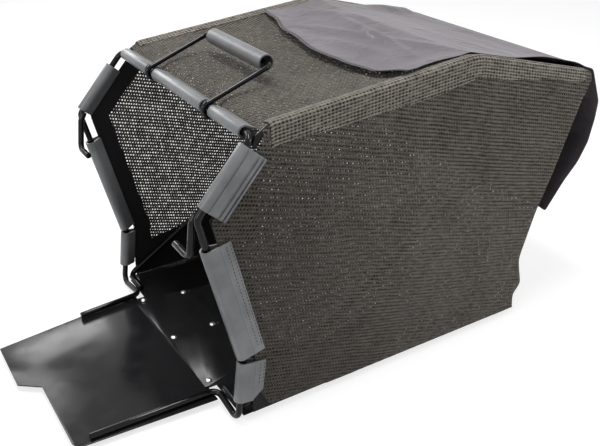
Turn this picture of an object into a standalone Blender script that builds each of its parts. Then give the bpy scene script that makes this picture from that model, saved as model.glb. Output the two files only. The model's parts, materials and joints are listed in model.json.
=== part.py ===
"""Grass catcher: a steel rod frame with a sheet steel chute, hooks and a wire carrying handle,
hung with a mesh bag that is clamped to the mouth by plastic edge clips.

Frame: X across the mouth, Y backwards into the bag, Z up, with the lower corners of the mouth
and the bag's floor resting on Z = 0. The pieces are laid out with the mouth's top bar over
Y = 0, and then hung on one empty that puts the origin in the middle of the bag's floor.
Sizes below are in millimetres; everything is built in metres.
"""

import math

import bmesh
import bpy
from mathutils import Matrix, Vector

MM = 0.001
GAP = 0.3  # air between pieces that touch on the real thing
FLOOR_MIDDLE = 240.0  # from the mouth's top bar back to the origin

# Steel rods
ROD_R = 3.75
CORNER_BEND = 11.0
LOOP_BEND = 20.0
LOOP_FRONT_BEND = 6.0

# Side outline of the mouth as (Y, Z), top bar to foot, and its half widths
TOP_BAR = (0.0, 342.0)
HOOK_VERTEX = (-65.0, 268.0)
LOWER_VERTEX = (-22.0, 85.0)
FOOT = (-33.0, ROD_R)
MOUTH_HALF = 179.0
ARM_RIGHT_FRONT = (124.0, -186.0)
ARM_LEFT_FRONT = (-112.0, -119.0)
ARM_RIGHT_REAR = 127.0
ARM_LEFT_REAR = -121.0

# Side hooks, which drop from the vertex and turn inwards
HOOK_DROP = 48.0
HOOK_REACH = 34.0
HOOK_LEAN = 7.0
HOOK_BEND = 8.0
HOOK_BELOW_VERTEX = (-2.0, -6.0)
HOOK_TIP = (-1.0, 2.0)

# Top loop of rod that carries the bag, as (Y, Z), its heights taken from the top bar's
LOOP_START = 7.5
LOOP_START_RISE = 0.4
LOOP_FRONT = (22.0, TOP_BAR[1] + 5.5)
RIDGE = (290.0, TOP_BAR[1] + 31.0)
REAR_BAR = (484.0, TOP_BAR[1] - 20.0)

# Brace rods, from the floor plate up to the rear corners
BRACE_INSET = 5.0
BRACE_FOOT_END = 131.0
BRACE_END_Y = 468.0

# Sheet steel chute and floor plate
SHEET = 1.5
TRAY_TOP = 8.6
TRAY_FRONT_LEFT = -229.0
TRAY_FRONT_RIGHT = -205.0
TRAY_FRONT_SPAN = (-100.0, 130.0)
TRAY_REAR_SPAN = (-127.0, 138.0)
TRAY_STEP = (-14.0, 5.0)
TRAY_CORNER_R = 13.0
TRAY_REAR = -8.0
TONGUE_HALF = 113.0
PLATE_FRONT = -42.0
PLATE_REAR = 80.0
PLATE_SIDE_GAP = 16.0
RIB_R = 3.0
RIB_RISE = 1.6
RIB_LENGTH = 50.0
RIB_GAP = 2.0
RIB_RUN_IN = (4.0, 1.0)

# Rivets
RIVET_R = 2.0
RIVET_HEAD_R = 4.0
RIVET_HEAD_H = 2.4
RIVET_EDGE_FRONT = 9.0
RIVET_EDGE_REAR = 20.0
RIVET_FRONT_Y = -33.0
RIVET_REAR_Y = 22.0
RIVET_TAIL_R = 3.0
RIVET_TAIL_H = 1.0

# Plastic edge clips: a C over the rod and a flat tail over the cloth
CLIP_R = 7.5
CLIP_BORE_GAP = 0.35
CLIP_TAIL = 25.0
CLIP_TOP_TAIL = 16.0
CLIP_TAIL_INNER = 4.9
CLIP_TAIL_OUTER = 7.2
CLIP_RIB = 0.8
CLIP_SEAM = 15.5
UPPER_CLIP_RIGHT = (10.5, 86.0)
UPPER_CLIP_LEFT = (23.5, 92.5)
LOWER_CLIP_RIGHT = (36.0, 184.0)
LOWER_CLIP_LEFT = (41.0, 184.0)
SHORT_CLIP = (3.0, 54.0)
SHORT_CLIP_CUT = 13.0
CLIP_CORNER_GAP = 5.0

# Wire carrying handle and its grip
WIRE_R = 3.0
EYE_RIGHT = 84.0
EYE_LEFT = -72.0
EYE_CLEAR = 0.45
EYE_START = 350.0
HANDLE_RIGHT = 77.0
HANDLE_LEFT = -82.0
HANDLE_CORNER = (79.7, TOP_BAR[1] + 33.2)
HANDLE_BEND = 8.0
GRIP_R = 9.8
GRIP_LENGTH = 134.0
GRIP_BORE_R = 3.4
GRIP_MOUTH_R = 7.9
GRIP_MOUTH_DEPTH = 14.0
EYE_INNER_GAP = 9.0
EYE_OUTER_GAP = 6.0

# Mesh bag
CLOTH = 1.5
SIDE_CLEAR = 0.4
SIDE_START = 12.0
SIDE_FRONT_LOW = 7.0
SEAM_Z = 9.5
REAR_MIDDLE = (438.0, 198.0)
REAR_FOOT = (392.0, 76.0)
FLOOR_REAR = 388.0
FLOOR_FRONT = 60.0
FLOOR_DROP = 98.0
FLOOR_SAG_EDGE = 18.0
SLEEVE_R = 5.6
SLEEVE_FRONT = 24.0
SLEEVE_END_GAP = 2.0
SIDE_TOP_FRONT = (-8.0, -9.0)
REAR_TOP_BACK = 2.0
REAR_SHOULDER = (10.0, 4.0)
TOP_DIP = 2.0
LINER = 1.2
LINER_WIDTH = 35.0
LINER_FOOT = 95.0
LINER_TOP = 72.0
LINER_FALL = 12.0
LINER_REAR_LEAN = 8.0
LINER_NOTCH = (48.0, 36.0)
LINER_NOTCH_LEAN = 3.0
LINER_TOE = 1.0

# Nylon dust cover over the rear of the bag
COVER = 1.0
COVER_INSET = 5.5
COVER_FRONT = 178.0
COVER_HEM_ANGLE = 95
COVER_BELOW_BAR = (21.0, -47.0)
COVER_OVER_MIDDLE = (54.0, 40.0)
COVER_AT_MIDDLE = (30.0, -2.0)
COVER_FOOT = (15.0, -33.0)

# Worked out from the sizes above
SIDE_INNER = MOUTH_HALF + CLIP_TAIL_INNER - SIDE_CLEAR - CLOTH
LOOP_HALF = SIDE_INNER - SLEEVE_R - GAP
BRACE_HALF = MOUTH_HALF - BRACE_INSET
PLATE_HALF = SIDE_INNER - PLATE_SIDE_GAP
PLATE_TOP = TRAY_TOP + GAP + SHEET
RIVET_SPREAD_FRONT = TONGUE_HALF - RIVET_EDGE_FRONT
RIVET_SPREAD_REAR = TONGUE_HALF - RIVET_EDGE_REAR
HEM_HALF = LOOP_HALF - LOOP_BEND - SLEEVE_END_GAP
COVER_HALF = LOOP_HALF - SLEEVE_R - COVER_INSET


def material(name, colour, roughness, metallic=0.0):
    """A Principled material of one colour."""
    made = bpy.data.materials.new(name)
    made.use_nodes = True
    shader = made.node_tree.nodes["Principled BSDF"]
    shader.inputs["Base Color"].default_value = (*colour, 1.0)
    shader.inputs["Roughness"].default_value = roughness
    shader.inputs["Metallic"].default_value = metallic
    return made


def clear_scene():
    """Remove every object and make the two collections."""
    for thing in list(bpy.data.objects):
        bpy.data.objects.remove(thing, do_unlink=True)
    found = {}
    for name in ("grass_catcher", "cutters"):
        found[name] = bpy.data.collections.new(name)
        bpy.context.scene.collection.children.link(found[name])
    return found


COLLECTIONS = clear_scene()
BLACK_ROD = material("black_rod", (0.012, 0.012, 0.013), 0.22)
BLACK_SHEET = material("black_sheet", (0.016, 0.016, 0.018), 0.25)
CLIP_PLASTIC = material("clip_plastic", (0.16, 0.165, 0.17), 0.5)
GRIP_PLASTIC = material("grip_plastic", (0.15, 0.155, 0.16), 0.45)
MESH_CLOTH = material("mesh_cloth", (0.075, 0.068, 0.06), 0.9)
LINER_CLOTH = material("liner_cloth", (0.012, 0.012, 0.013), 0.8)
NYLON = material("nylon", (0.13, 0.115, 0.13), 0.55)
ZINC = material("zinc", (0.62, 0.62, 0.6), 0.35, 1.0)


def link(thing, finish, collection="grass_catcher"):
    """Put an object in its collection with its material."""
    COLLECTIONS[collection].objects.link(thing)
    thing.data.materials.clear()
    thing.data.materials.append(finish)
    return thing


def filleted(points, radius):
    """The points of a path with each inner corner rounded to a radius."""
    path = [Vector(points[0])]
    for before, corner, after in zip(points, points[1:], points[2:]):
        corner = Vector(corner)
        back = (Vector(before) - corner).normalized()
        ahead = (Vector(after) - corner).normalized()
        turn = math.pi - back.angle(ahead)
        if turn < math.radians(2.0):
            path.append(corner)
            continue
        reach = radius * math.tan(turn / 2)
        centre = corner + (back + ahead).normalized() * radius / math.cos(turn / 2)
        first = corner + back * reach - centre
        last = corner + ahead * reach - centre
        steps = max(2, math.ceil(turn / math.radians(15.0)))
        for step in range(steps + 1):
            share = step / steps
            blend = math.sin((1 - share) * turn) * first + math.sin(share * turn) * last
            path.append(centre + blend / math.sin(turn))
    path.append(Vector(points[-1]))
    return path


def tube(name, path, radius, finish, capped=True):
    """A round rod along a path, as a curve with a bevel."""
    data = bpy.data.curves.new(name, "CURVE")
    data.dimensions = "3D"
    data.bevel_depth = radius * MM
    data.bevel_resolution = 2
    data.use_fill_caps = capped
    spline = data.splines.new("POLY")
    spline.points.add(len(path) - 1)
    for point, place in zip(spline.points, path):
        point.co = (*(Vector(place) * MM), 1.0)
    return link(bpy.data.objects.new(name, data), finish)


def hollow_tube(name, path, radius, wall, finish):
    """A thin sleeve along a path: an open tube with its wall grown inwards."""
    curve = tube(name + "_curve", path, radius, finish, capped=False)
    sleeve = bpy.data.objects.new(name, as_mesh(curve))
    link(sleeve, finish)
    grow = sleeve.modifiers.new("wall", "SOLIDIFY")
    grow.thickness = wall * MM
    grow.offset = -1.0
    return sleeve


def as_mesh(curve):
    """The welded mesh of a curve object, which is removed."""
    bpy.context.view_layer.update()
    graph = bpy.context.evaluated_depsgraph_get()
    mesh = bpy.data.meshes.new_from_object(curve.evaluated_get(graph))
    mesh.transform(curve.matrix_world)
    work = bmesh.new()
    work.from_mesh(mesh)
    bmesh.ops.remove_doubles(work, verts=work.verts, dist=1e-6)
    bmesh.ops.recalc_face_normals(work, faces=work.faces)
    work.to_mesh(mesh)
    work.free()
    bpy.data.objects.remove(curve, do_unlink=True)
    return mesh


def flat(name, outlines, thickness, axes, origin, finish, collection="grass_catcher"):
    """An outline, with any holes after it, filled and extruded both ways.

    axes are the world directions of the outline's own x, y and thickness, and origin is the
    place in millimetres of its zero point.
    """
    data = bpy.data.curves.new(name, "CURVE")
    data.dimensions = "2D"
    data.fill_mode = "BOTH"
    data.extrude = thickness / 2 * MM
    for outline in outlines:
        spline = data.splines.new("POLY")
        spline.use_cyclic_u = True
        spline.points.add(len(outline) - 1)
        for point, place in zip(spline.points, outline):
            point.co = (place[0] * MM, place[1] * MM, 0.0, 1.0)
    thing = bpy.data.objects.new(name, data)
    turn = Matrix([Vector(axis) for axis in axes]).transposed().to_4x4()
    thing.matrix_world = Matrix.Translation(Vector(origin) * MM) @ turn
    return link(thing, finish, collection)


SIDEWAYS = ((0, 1, 0), (0, 0, 1), (1, 0, 0))
LEVEL = ((1, 0, 0), (0, 1, 0), (0, 0, 1))


def draped(name, columns, rows, height, thickness, finish):
    """A cloth panel over columns of X and rows of Y, each point lifted by height(x, y)."""
    mesh = bpy.data.meshes.new(name)
    work = bmesh.new()
    across, along = len(columns) - 1, len(rows) - 1
    bmesh.ops.create_grid(work, x_segments=across, y_segments=along, size=0.5)
    for vert in work.verts:
        x = columns[round((vert.co.x + 0.5) * across)]
        y = rows[round((vert.co.y + 0.5) * along)]
        vert.co = Vector((x, y, height(x, y))) * MM
    work.to_mesh(mesh)
    work.free()
    panel = link(bpy.data.objects.new(name, mesh), finish)
    wall = panel.modifiers.new("wall", "SOLIDIFY")
    wall.thickness = thickness * MM
    wall.offset = 0.0
    wall.use_even_offset = True
    return panel


def circle(centre, radius, count=16):
    """Points round a circle."""
    turns = [2 * math.pi * step / count for step in range(count)]
    return [(centre[0] + radius * math.cos(a), centre[1] + radius * math.sin(a)) for a in turns]


def arc(centre, radius, start, end, steps):
    """Points on an arc between two angles in degrees."""
    angles = [math.radians(start + (end - start) * step / steps) for step in range(steps + 1)]
    return [(centre[0] + radius * math.cos(a), centre[1] + radius * math.sin(a)) for a in angles]


def offset_line(points, distance):
    """A line moved sideways, to the left of the way it runs for a positive distance."""
    points = [Vector(point) for point in points]
    normals = []
    for here, there in zip(points, points[1:]):
        along = (there - here).normalized()
        normals.append(Vector((-along.y, along.x)))
    moved = [points[0] + normals[0] * distance]
    for corner, first, second in zip(points[1:], normals, normals[1:]):
        moved.append(corner + (first + second) * distance / (1 + first.dot(second)))
    moved.append(points[-1] + normals[-1] * distance)
    return [tuple(point) for point in moved]


def ribbon(points, thickness):
    """The closed outline of a line that is given a thickness."""
    left = offset_line(points, thickness / 2)
    right = offset_line(points, -thickness / 2)
    return left + right[::-1]


def on_line(start, end, distance):
    """The point at a distance from start towards end."""
    start, end = Vector(start), Vector(end)
    return start + (end - start).normalized() * distance


def height_on(start, end, y):
    """The height of the line through two (Y, Z) points at y."""
    return start[1] + (end[1] - start[1]) * (y - start[0]) / (end[0] - start[0])


def turned(name, profile, axis, centre, finish, steps):
    """A body of revolution: profile as (radius, height), turned about an axis through centre."""
    mesh = bpy.data.meshes.new(name)
    closed = profile[0][0] > 0
    edges = [(i, i + 1) for i in range(len(profile) - 1)]
    if closed:
        edges.append((len(profile) - 1, 0))
    mesh.from_pydata([(r * MM, 0.0, h * MM) for r, h in profile], edges, [])
    thing = bpy.data.objects.new(name, mesh)
    screw = thing.modifiers.new("turn", "SCREW")
    screw.steps = screw.render_steps = steps
    screw.use_merge_vertices = True
    screw.merge_threshold = 0.00001
    thing.rotation_mode = "QUATERNION"
    thing.rotation_quaternion = Vector((0, 0, 1)).rotation_difference(Vector(axis))
    thing.location = Vector(centre) * MM
    return link(thing, finish)


SIDES = (("right", 1), ("left", -1))
MOUTH_LINE = [TOP_BAR, HOOK_VERTEX, LOWER_VERTEX, FOOT]


def build_mouth_hoop():
    """The one rod round the mouth, with its ends bent forward along the chute."""
    arm_z = TRAY_TOP + ROD_R + GAP

    def half(side, front, rear_x):
        return [
            (*front, arm_z),
            (rear_x, FOOT[0], arm_z),
            (side * MOUTH_HALF, *FOOT),
            (side * MOUTH_HALF, *LOWER_VERTEX),
            (side * MOUTH_HALF, *HOOK_VERTEX),
            (side * MOUTH_HALF, *TOP_BAR),
        ]

    points = half(1, ARM_RIGHT_FRONT, ARM_RIGHT_REAR)
    points += half(-1, ARM_LEFT_FRONT, ARM_LEFT_REAR)[::-1]
    tube("mouth_hoop", filleted(points, CORNER_BEND), ROD_R, BLACK_ROD)


def build_hooks():
    """The rods welded inside the vertex, which drop and turn inwards as hooks."""
    start = on_line(TOP_BAR, HOOK_VERTEX, UPPER_CLIP_LEFT[1] + 1.0)
    low = (HOOK_VERTEX[0] - HOOK_LEAN, HOOK_VERTEX[1] - HOOK_DROP + ROD_R)
    for label, side in SIDES:
        x = side * (MOUTH_HALF - 2 * ROD_R - GAP)
        points = [
            (x, *start),
            (x, HOOK_VERTEX[0] + HOOK_BELOW_VERTEX[0], HOOK_VERTEX[1] + HOOK_BELOW_VERTEX[1]),
            (x, *low),
            (x - side * HOOK_REACH, low[0] + HOOK_TIP[0], low[1] + HOOK_TIP[1]),
        ]
        tube(f"hook_{label}", filleted(points, HOOK_BEND), ROD_R, BLACK_ROD)


def build_top_loop():
    """The rod round the top of the bag, from the mouth's corners to the rear bar."""
    down = on_line(TOP_BAR, HOOK_VERTEX, LOOP_START)
    back = Vector(offset_line([TOP_BAR, HOOK_VERTEX], 1.0)[0]) - Vector(TOP_BAR)
    away = back * (2 * ROD_R + GAP)
    start = down + away
    corner = Vector(TOP_BAR) + away + (Vector(TOP_BAR) - down) * LOOP_START_RISE
    half = [
        (LOOP_HALF, *start),
        (LOOP_HALF, *corner),
        (LOOP_HALF, *LOOP_FRONT),
        (LOOP_HALF, *RIDGE),
        (LOOP_HALF, *REAR_BAR),
    ]
    points = half + [(-x, y, z) for x, y, z in half[::-1]]
    path = filleted(points[:3], LOOP_FRONT_BEND)[:-1]
    path += filleted(points[2:-2], LOOP_BEND)
    path += filleted(points[-3:], LOOP_FRONT_BEND)[1:]
    tube("top_loop", path, ROD_R, BLACK_ROD)


def build_braces():
    """The two braces, each from a foot on the floor plate up and back to a rear corner."""
    foot_y = FOOT[0] + 2 * ROD_R + GAP
    foot_z = PLATE_TOP + GAP + ROD_R
    rear_z = height_on(RIDGE, REAR_BAR, BRACE_END_Y)
    slope = Vector((BRACE_END_Y - foot_y, rear_z - foot_z)).normalized()
    fall = (Vector(REAR_BAR) - Vector(RIDGE)).normalized()
    under = ROD_R / fall.x + ROD_R * slope.x + 2 * GAP
    for label, side in SIDES:
        points = [
            (side * BRACE_FOOT_END, foot_y, foot_z),
            (side * BRACE_HALF, foot_y, foot_z),
            (side * BRACE_HALF, BRACE_END_Y, rear_z - under),
        ]
        tube(f"brace_{label}", filleted(points, CORNER_BEND), ROD_R, BLACK_ROD)


def rivet_places():
    """The name, X and Y of each rivet."""
    rows = (("front", RIVET_SPREAD_FRONT, RIVET_FRONT_Y), ("rear", RIVET_SPREAD_REAR, RIVET_REAR_Y))
    for row, spread, y in rows:
        for label, share in (("left", -1), ("middle", 0), ("right", 1)):
            yield f"rivet_{row}_{label}", row, share * spread, y


def rivet_holes(rows):
    """Clearance holes for the rivets of some rows, as outlines."""
    return [circle((x, y), RIVET_R + GAP, 12) for _, row, x, y in rivet_places() if row in rows]


def build_chute_tray():
    """The flat chute with its stepped front edge, under the arms of the hoop."""
    corner = (TRAY_FRONT_SPAN[1] - TRAY_CORNER_R, TRAY_FRONT_RIGHT + TRAY_CORNER_R)
    neck = FOOT[0] - ROD_R - 4 * GAP
    outline = [
        (TRAY_FRONT_SPAN[0], TRAY_FRONT_LEFT),
        (TRAY_STEP[0], TRAY_FRONT_LEFT),
        (TRAY_STEP[1], TRAY_FRONT_RIGHT),
        *arc(corner, TRAY_CORNER_R, -90, 0, 6),
        (TRAY_REAR_SPAN[1], neck),
        (TONGUE_HALF, neck),
        (TONGUE_HALF, TRAY_REAR),
        (-TONGUE_HALF, TRAY_REAR),
        (-TONGUE_HALF, neck),
        (TRAY_REAR_SPAN[0], neck),
    ]
    place = (0, 0, TRAY_TOP - SHEET / 2)
    outlines = [outline, *rivet_holes(("front",))]
    flat("chute_tray", outlines, SHEET, LEVEL, place, BLACK_SHEET)


def build_floor_plate():
    """The plate that laps over the chute inside the mouth, with three pressed ribs."""
    shoulder = FOOT[0] + ROD_R + 2 * GAP
    outline = [
        (-TONGUE_HALF, PLATE_FRONT),
        (TONGUE_HALF, PLATE_FRONT),
        (TONGUE_HALF, shoulder),
        (PLATE_HALF, shoulder),
        (PLATE_HALF, PLATE_REAR),
        (-PLATE_HALF, PLATE_REAR),
        (-PLATE_HALF, shoulder),
        (-TONGUE_HALF, shoulder),
    ]
    middle = TRAY_TOP + GAP + SHEET / 2
    outlines = [outline, *rivet_holes(("front", "rear"))]
    curve = flat("plate_curve", outlines, SHEET, LEVEL, (0, 0, middle), BLACK_SHEET)
    plate = link(bpy.data.objects.new("floor_plate", as_mesh(curve)), BLACK_SHEET)
    start = RIVET_REAR_Y + RIVET_HEAD_R + RIB_GAP
    end = start + RIB_LENGTH
    run, rise = RIB_RUN_IN
    for share in (-1, 0, 1):
        x = share * RIVET_SPREAD_REAR
        z = middle + SHEET / 2 + RIB_RISE - RIB_R
        lift = [(x, start, z - rise), (x, start + run, z), (x, end - run, z), (x, end, z - rise)]
        rib = tube(f"rib_curve_{share}", lift, RIB_R, BLACK_SHEET)
        cutter = bpy.data.objects.new(f"rib_{share + 1}", as_mesh(rib))
        link(cutter, BLACK_SHEET, "cutters")
        trim_below(cutter.data, middle - SHEET / 4)
        cutter.hide_render = True
        cutter.display_type = "WIRE"
        join = plate.modifiers.new(f"rib_{share}", "BOOLEAN")
        join.operation = "UNION"
        join.solver = "MANIFOLD"
        join.object = cutter


def trim_below(mesh, height):
    """Cut away what a closed mesh has below a height, and close the cut."""
    work = bmesh.new()
    work.from_mesh(mesh)
    everything = work.verts[:] + work.edges[:] + work.faces[:]
    cut = bmesh.ops.bisect_plane(
        work,
        geom=everything,
        plane_co=(0, 0, height * MM),
        plane_no=(0, 0, 1),
        clear_inner=True,
    )
    rim = [item for item in cut["geom_cut"] if isinstance(item, bmesh.types.BMEdge)]
    bmesh.ops.edgeloop_fill(work, edges=rim)
    bmesh.ops.recalc_face_normals(work, faces=work.faces)
    work.to_mesh(mesh)
    work.free()


def build_rivets():
    """Six domed rivets: the front row joins plate and chute, the rear row the plate alone."""
    seat = PLATE_TOP + GAP
    crown = arc((0, 0), 1.0, 90, 0, 5)
    head = [(RIVET_HEAD_R * r, seat + RIVET_HEAD_H * h) for r, h in crown]
    head[0] = (0.0, seat + RIVET_HEAD_H)
    for name, row, x, y in rivet_places():
        under = TRAY_TOP - SHEET if row == "front" else TRAY_TOP + GAP
        low = under - GAP
        profile = [
            *head,
            (RIVET_R, seat),
            (RIVET_R, low),
            (RIVET_TAIL_R, low),
            (RIVET_TAIL_R, low - RIVET_TAIL_H),
            (0.0, low - RIVET_TAIL_H),
        ]
        turned(name, profile, (0, 0, 1), (x, y, 0), ZINC, 16)


def clip_outline(tail, ribbed):
    """Section of an edge clip: x runs back from the rod, y towards the tail's outer face."""
    bore = ROD_R + CLIP_BORE_GAP
    outline = arc((0, 0), CLIP_R, 90, 300, 14) + arc((0, 0), bore, 300, 90, 12)
    outline += [(1.5, CLIP_TAIL_INNER), (tail, CLIP_TAIL_INNER)]
    if ribbed:
        bead = CLIP_TAIL_OUTER + CLIP_RIB
        outline += [
            (tail, bead),
            (tail - 2.5, bead),
            (tail - 3.2, CLIP_TAIL_OUTER),
            (CLIP_SEAM + 1.2, CLIP_TAIL_OUTER),
            (CLIP_SEAM, bead - 0.2),
            (CLIP_SEAM - 1.2, CLIP_TAIL_OUTER),
            (3.0, CLIP_TAIL_OUTER),
        ]
    else:
        outline += [(tail, CLIP_TAIL_OUTER), (3.0, CLIP_TAIL_OUTER)]
    return outline


def side_clip(name, side, start, end, span):
    """A clip on one straight run of the mouth's side, its span measured from the run's start."""
    first = Vector((side * MOUTH_HALF, *start))
    last = Vector((side * MOUTH_HALF, *end))
    along = (last - first).normalized()
    outward = Vector((side, 0, 0))
    back = along.cross(outward)
    if back.y < 0:
        back = -back
    middle = first + along * (span[0] + span[1]) / 2
    axes = (back, outward, back.cross(outward))
    outline = clip_outline(CLIP_TAIL, True)
    return flat(name, [outline], span[1] - span[0], axes, middle, CLIP_PLASTIC)


def build_side_clips():
    """The upper, lower and short clip on each side of the mouth."""
    upper = {"right": UPPER_CLIP_RIGHT, "left": UPPER_CLIP_LEFT}
    lower = {"right": LOWER_CLIP_RIGHT, "left": LOWER_CLIP_LEFT}
    for label, side in SIDES:
        side_clip(f"clip_upper_{label}", side, TOP_BAR, HOOK_VERTEX, upper[label])
        side_clip(f"clip_lower_{label}", side, HOOK_VERTEX, LOWER_VERTEX, lower[label])
        short = side_clip(f"clip_curve_{label}", side, LOWER_VERTEX, FOOT, SHORT_CLIP)
        build_short_clip(f"clip_short_{label}", side, short)


def build_short_clip(name, side, curve):
    """The short clip, with the lower corner of its tail cut off past the brace."""
    clip = link(bpy.data.objects.new(name, as_mesh(curve)), CLIP_PLASTIC)
    along = (Vector(FOOT) - Vector(LOWER_VERTEX)).normalized()
    back = Vector((-along.y, along.x))
    if back.x < 0:
        back = -back
    low = Vector(LOWER_VERTEX) + along * SHORT_CLIP[1]
    outline = [
        low + back * (CLIP_TAIL - SHORT_CLIP_CUT),
        low + back * (CLIP_TAIL + 1.0) - along * (SHORT_CLIP_CUT + 1.0),
        low + back * (CLIP_TAIL + 1.0) + along * 2.0,
        low + back * (CLIP_TAIL - SHORT_CLIP_CUT) + along * 2.0,
    ]
    place = (side * MOUTH_HALF, 0, 0)
    depth = 3 * CLIP_R
    corner = flat(name + "_corner", [outline], depth, SIDEWAYS, place, CLIP_PLASTIC, "cutters")
    block = bpy.data.objects.new(name + "_cut", as_mesh(corner))
    link(block, CLIP_PLASTIC, "cutters")
    block.hide_render = True
    block.display_type = "WIRE"
    cut = clip.modifiers.new("corner", "BOOLEAN")
    cut.operation = "DIFFERENCE"
    cut.object = block


def build_top_clips():
    """Three clips along the top bar, parted where the handle's eyes go round it."""
    inner = WIRE_R + EYE_INNER_GAP
    outer = WIRE_R + EYE_OUTER_GAP
    end = MOUTH_HALF - CORNER_BEND - CLIP_CORNER_GAP
    spans = {
        "clip_top_left": (-end, EYE_LEFT - outer),
        "clip_top_middle": (EYE_LEFT + inner, EYE_RIGHT - inner),
        "clip_top_right": (EYE_RIGHT + outer, end),
    }
    outline = clip_outline(CLIP_TOP_TAIL, False)
    axes = ((0, 1, 0), (0, 0, -1), (-1, 0, 0))
    for name, (low, high) in spans.items():
        flat(name, [outline], high - low, axes, ((low + high) / 2, *TOP_BAR), CLIP_PLASTIC)


def build_handle():
    """The wire handle, with an eye round the top bar at each end, and its tube grip.

    The wire's origin is on the top bar's axis and the grip's is on the wire's, where they turn.
    """
    eye_r = ROD_R + EYE_CLEAR + WIRE_R
    reach = Vector(HANDLE_CORNER) - Vector(TOP_BAR)
    lean = math.atan2(reach.y, reach.x) - math.asin(eye_r / reach.length)
    leave = math.degrees(lean) + 90.0
    eye = arc((0, 0), eye_r, EYE_START, leave, 16)

    def half(eye_x, corner_x):
        path = [Vector((eye_x, y, z)) for y, z in eye]
        corner = Vector((corner_x, *reach))
        inner = Vector((0.0, *reach))
        return path + filleted([path[-1], corner, inner], HANDLE_BEND)[1:-1]

    path = half(EYE_RIGHT, HANDLE_RIGHT) + half(EYE_LEFT, HANDLE_LEFT)[::-1]
    wire = tube("handle_wire", path, WIRE_R, BLACK_ROD)
    wire.location = Vector((0.0, *TOP_BAR)) * MM
    end = GRIP_LENGTH / 2
    profile = [
        (GRIP_MOUTH_R, end),
        (GRIP_R - 0.8, end),
        (GRIP_R, end - 0.8),
        (GRIP_R, 0.8 - end),
        (GRIP_R - 0.8, -end),
        (GRIP_MOUTH_R, -end),
        (GRIP_MOUTH_R, GRIP_MOUTH_DEPTH - end),
        (GRIP_BORE_R, GRIP_MOUTH_DEPTH + 2.0 - end),
        (GRIP_BORE_R, end - GRIP_MOUTH_DEPTH - 2.0),
        (GRIP_MOUTH_R, end - GRIP_MOUTH_DEPTH),
    ]
    grip = turned("handle_grip", profile, (1, 0, 0), (0, *reach), GRIP_PLASTIC, 28)
    grip.parent = wire


def rear_profile():
    """The rear edge of the bag from the rear bar down, as (Y, Z)."""
    top = (REAR_BAR[0] + REAR_TOP_BACK, REAR_BAR[1] - SLEEVE_R - CLOTH)
    shoulder = REAR_BAR[0] - REAR_SHOULDER[0]
    upper = (shoulder, height_on(top, REAR_MIDDLE, shoulder) + REAR_SHOULDER[1])
    return [top, upper, REAR_MIDDLE, REAR_FOOT, (FLOOR_REAR, SEAM_Z)]


def build_bag_sides():
    """The two mesh sides, from the clips' tails to the rear edge."""
    front = offset_line(MOUTH_LINE, SIDE_START)
    cut = on_line(LOWER_VERTEX, FOOT, SHORT_CLIP[1] - SHORT_CLIP_CUT)
    tail = cut + (Vector(offset_line([LOWER_VERTEX, FOOT], CLIP_TAIL)[0]) - Vector(LOWER_VERTEX))
    above = ROD_R + 1.0
    outline = [
        (LOOP_FRONT[0] + SIDE_TOP_FRONT[0], LOOP_FRONT[1] + SIDE_TOP_FRONT[1]),
        front[0],
        front[1],
        front[2],
        (tail.x - CLIP_TAIL + SIDE_START, tail.y),
        (tail.x, tail.y),
        (SIDE_FRONT_LOW, SEAM_Z),
        *rear_profile()[::-1],
        (REAR_BAR[0] + REAR_TOP_BACK, REAR_BAR[1] + above),
        (RIDGE[0], RIDGE[1] + above),
        (LOOP_FRONT[0], LOOP_FRONT[1] + above),
    ]
    for label, side in SIDES:
        x = side * (SIDE_INNER + CLOTH / 2)
        flat(f"bag_side_{label}", [outline], CLOTH, SIDEWAYS, (x, 0, 0), MESH_CLOTH)


def build_bag_walls():
    """The mesh top, rear and floor, which lie between the two sides."""
    start = ROD_R + EYE_CLEAR + 2 * WIRE_R + 2 * GAP
    over = ROD_R / 2
    rear = REAR_BAR[0] - LOOP_BEND - 2 * GAP
    top_line = [
        (start, TOP_BAR[1] - CLIP_TAIL_INNER + CLOTH / 2 + 2 * GAP),
        (LOOP_FRONT[0], LOOP_FRONT[1] - TOP_DIP),
        (RIDGE[0], RIDGE[1] + over),
        (rear, height_on(RIDGE, REAR_BAR, rear) + over),
    ]
    top_half = LOOP_HALF - SLEEVE_R - 2 * GAP
    flat("bag_top", [ribbon(top_line, CLOTH)], 2 * top_half, SIDEWAYS, (0, 0, 0), MESH_CLOTH)
    inner = 2 * (SIDE_INNER - GAP)
    rear_line = offset_line(rear_profile(), -CLOTH)
    flat("bag_rear", [ribbon(rear_line, CLOTH)], inner, SIDEWAYS, (0, 0, 0), MESH_CLOTH)
    build_bag_floor(inner / 2)


def build_bag_floor(half):
    """The floor, seamed to the walls above the ground and sagging onto it in the middle."""
    seam = SEAM_Z - CLOTH / 2 - 2 * GAP
    under_plate = TRAY_TOP - CLOTH / 2 - GAP
    rest_half = half - FLOOR_SAG_EDGE
    rear = FLOOR_REAR - 2 * CLOTH
    rows = [FLOOR_FRONT, PLATE_REAR, FLOOR_DROP, rear - FLOOR_SAG_EDGE, rear]

    def height(x, y):
        if y in rows[:2]:
            return under_plate
        return CLOTH / 2 if abs(x) < half and y < rear else seam

    draped("bag_floor", [-half, -rest_half, rest_half, half], rows, height, CLOTH, MESH_CLOTH)


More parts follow.
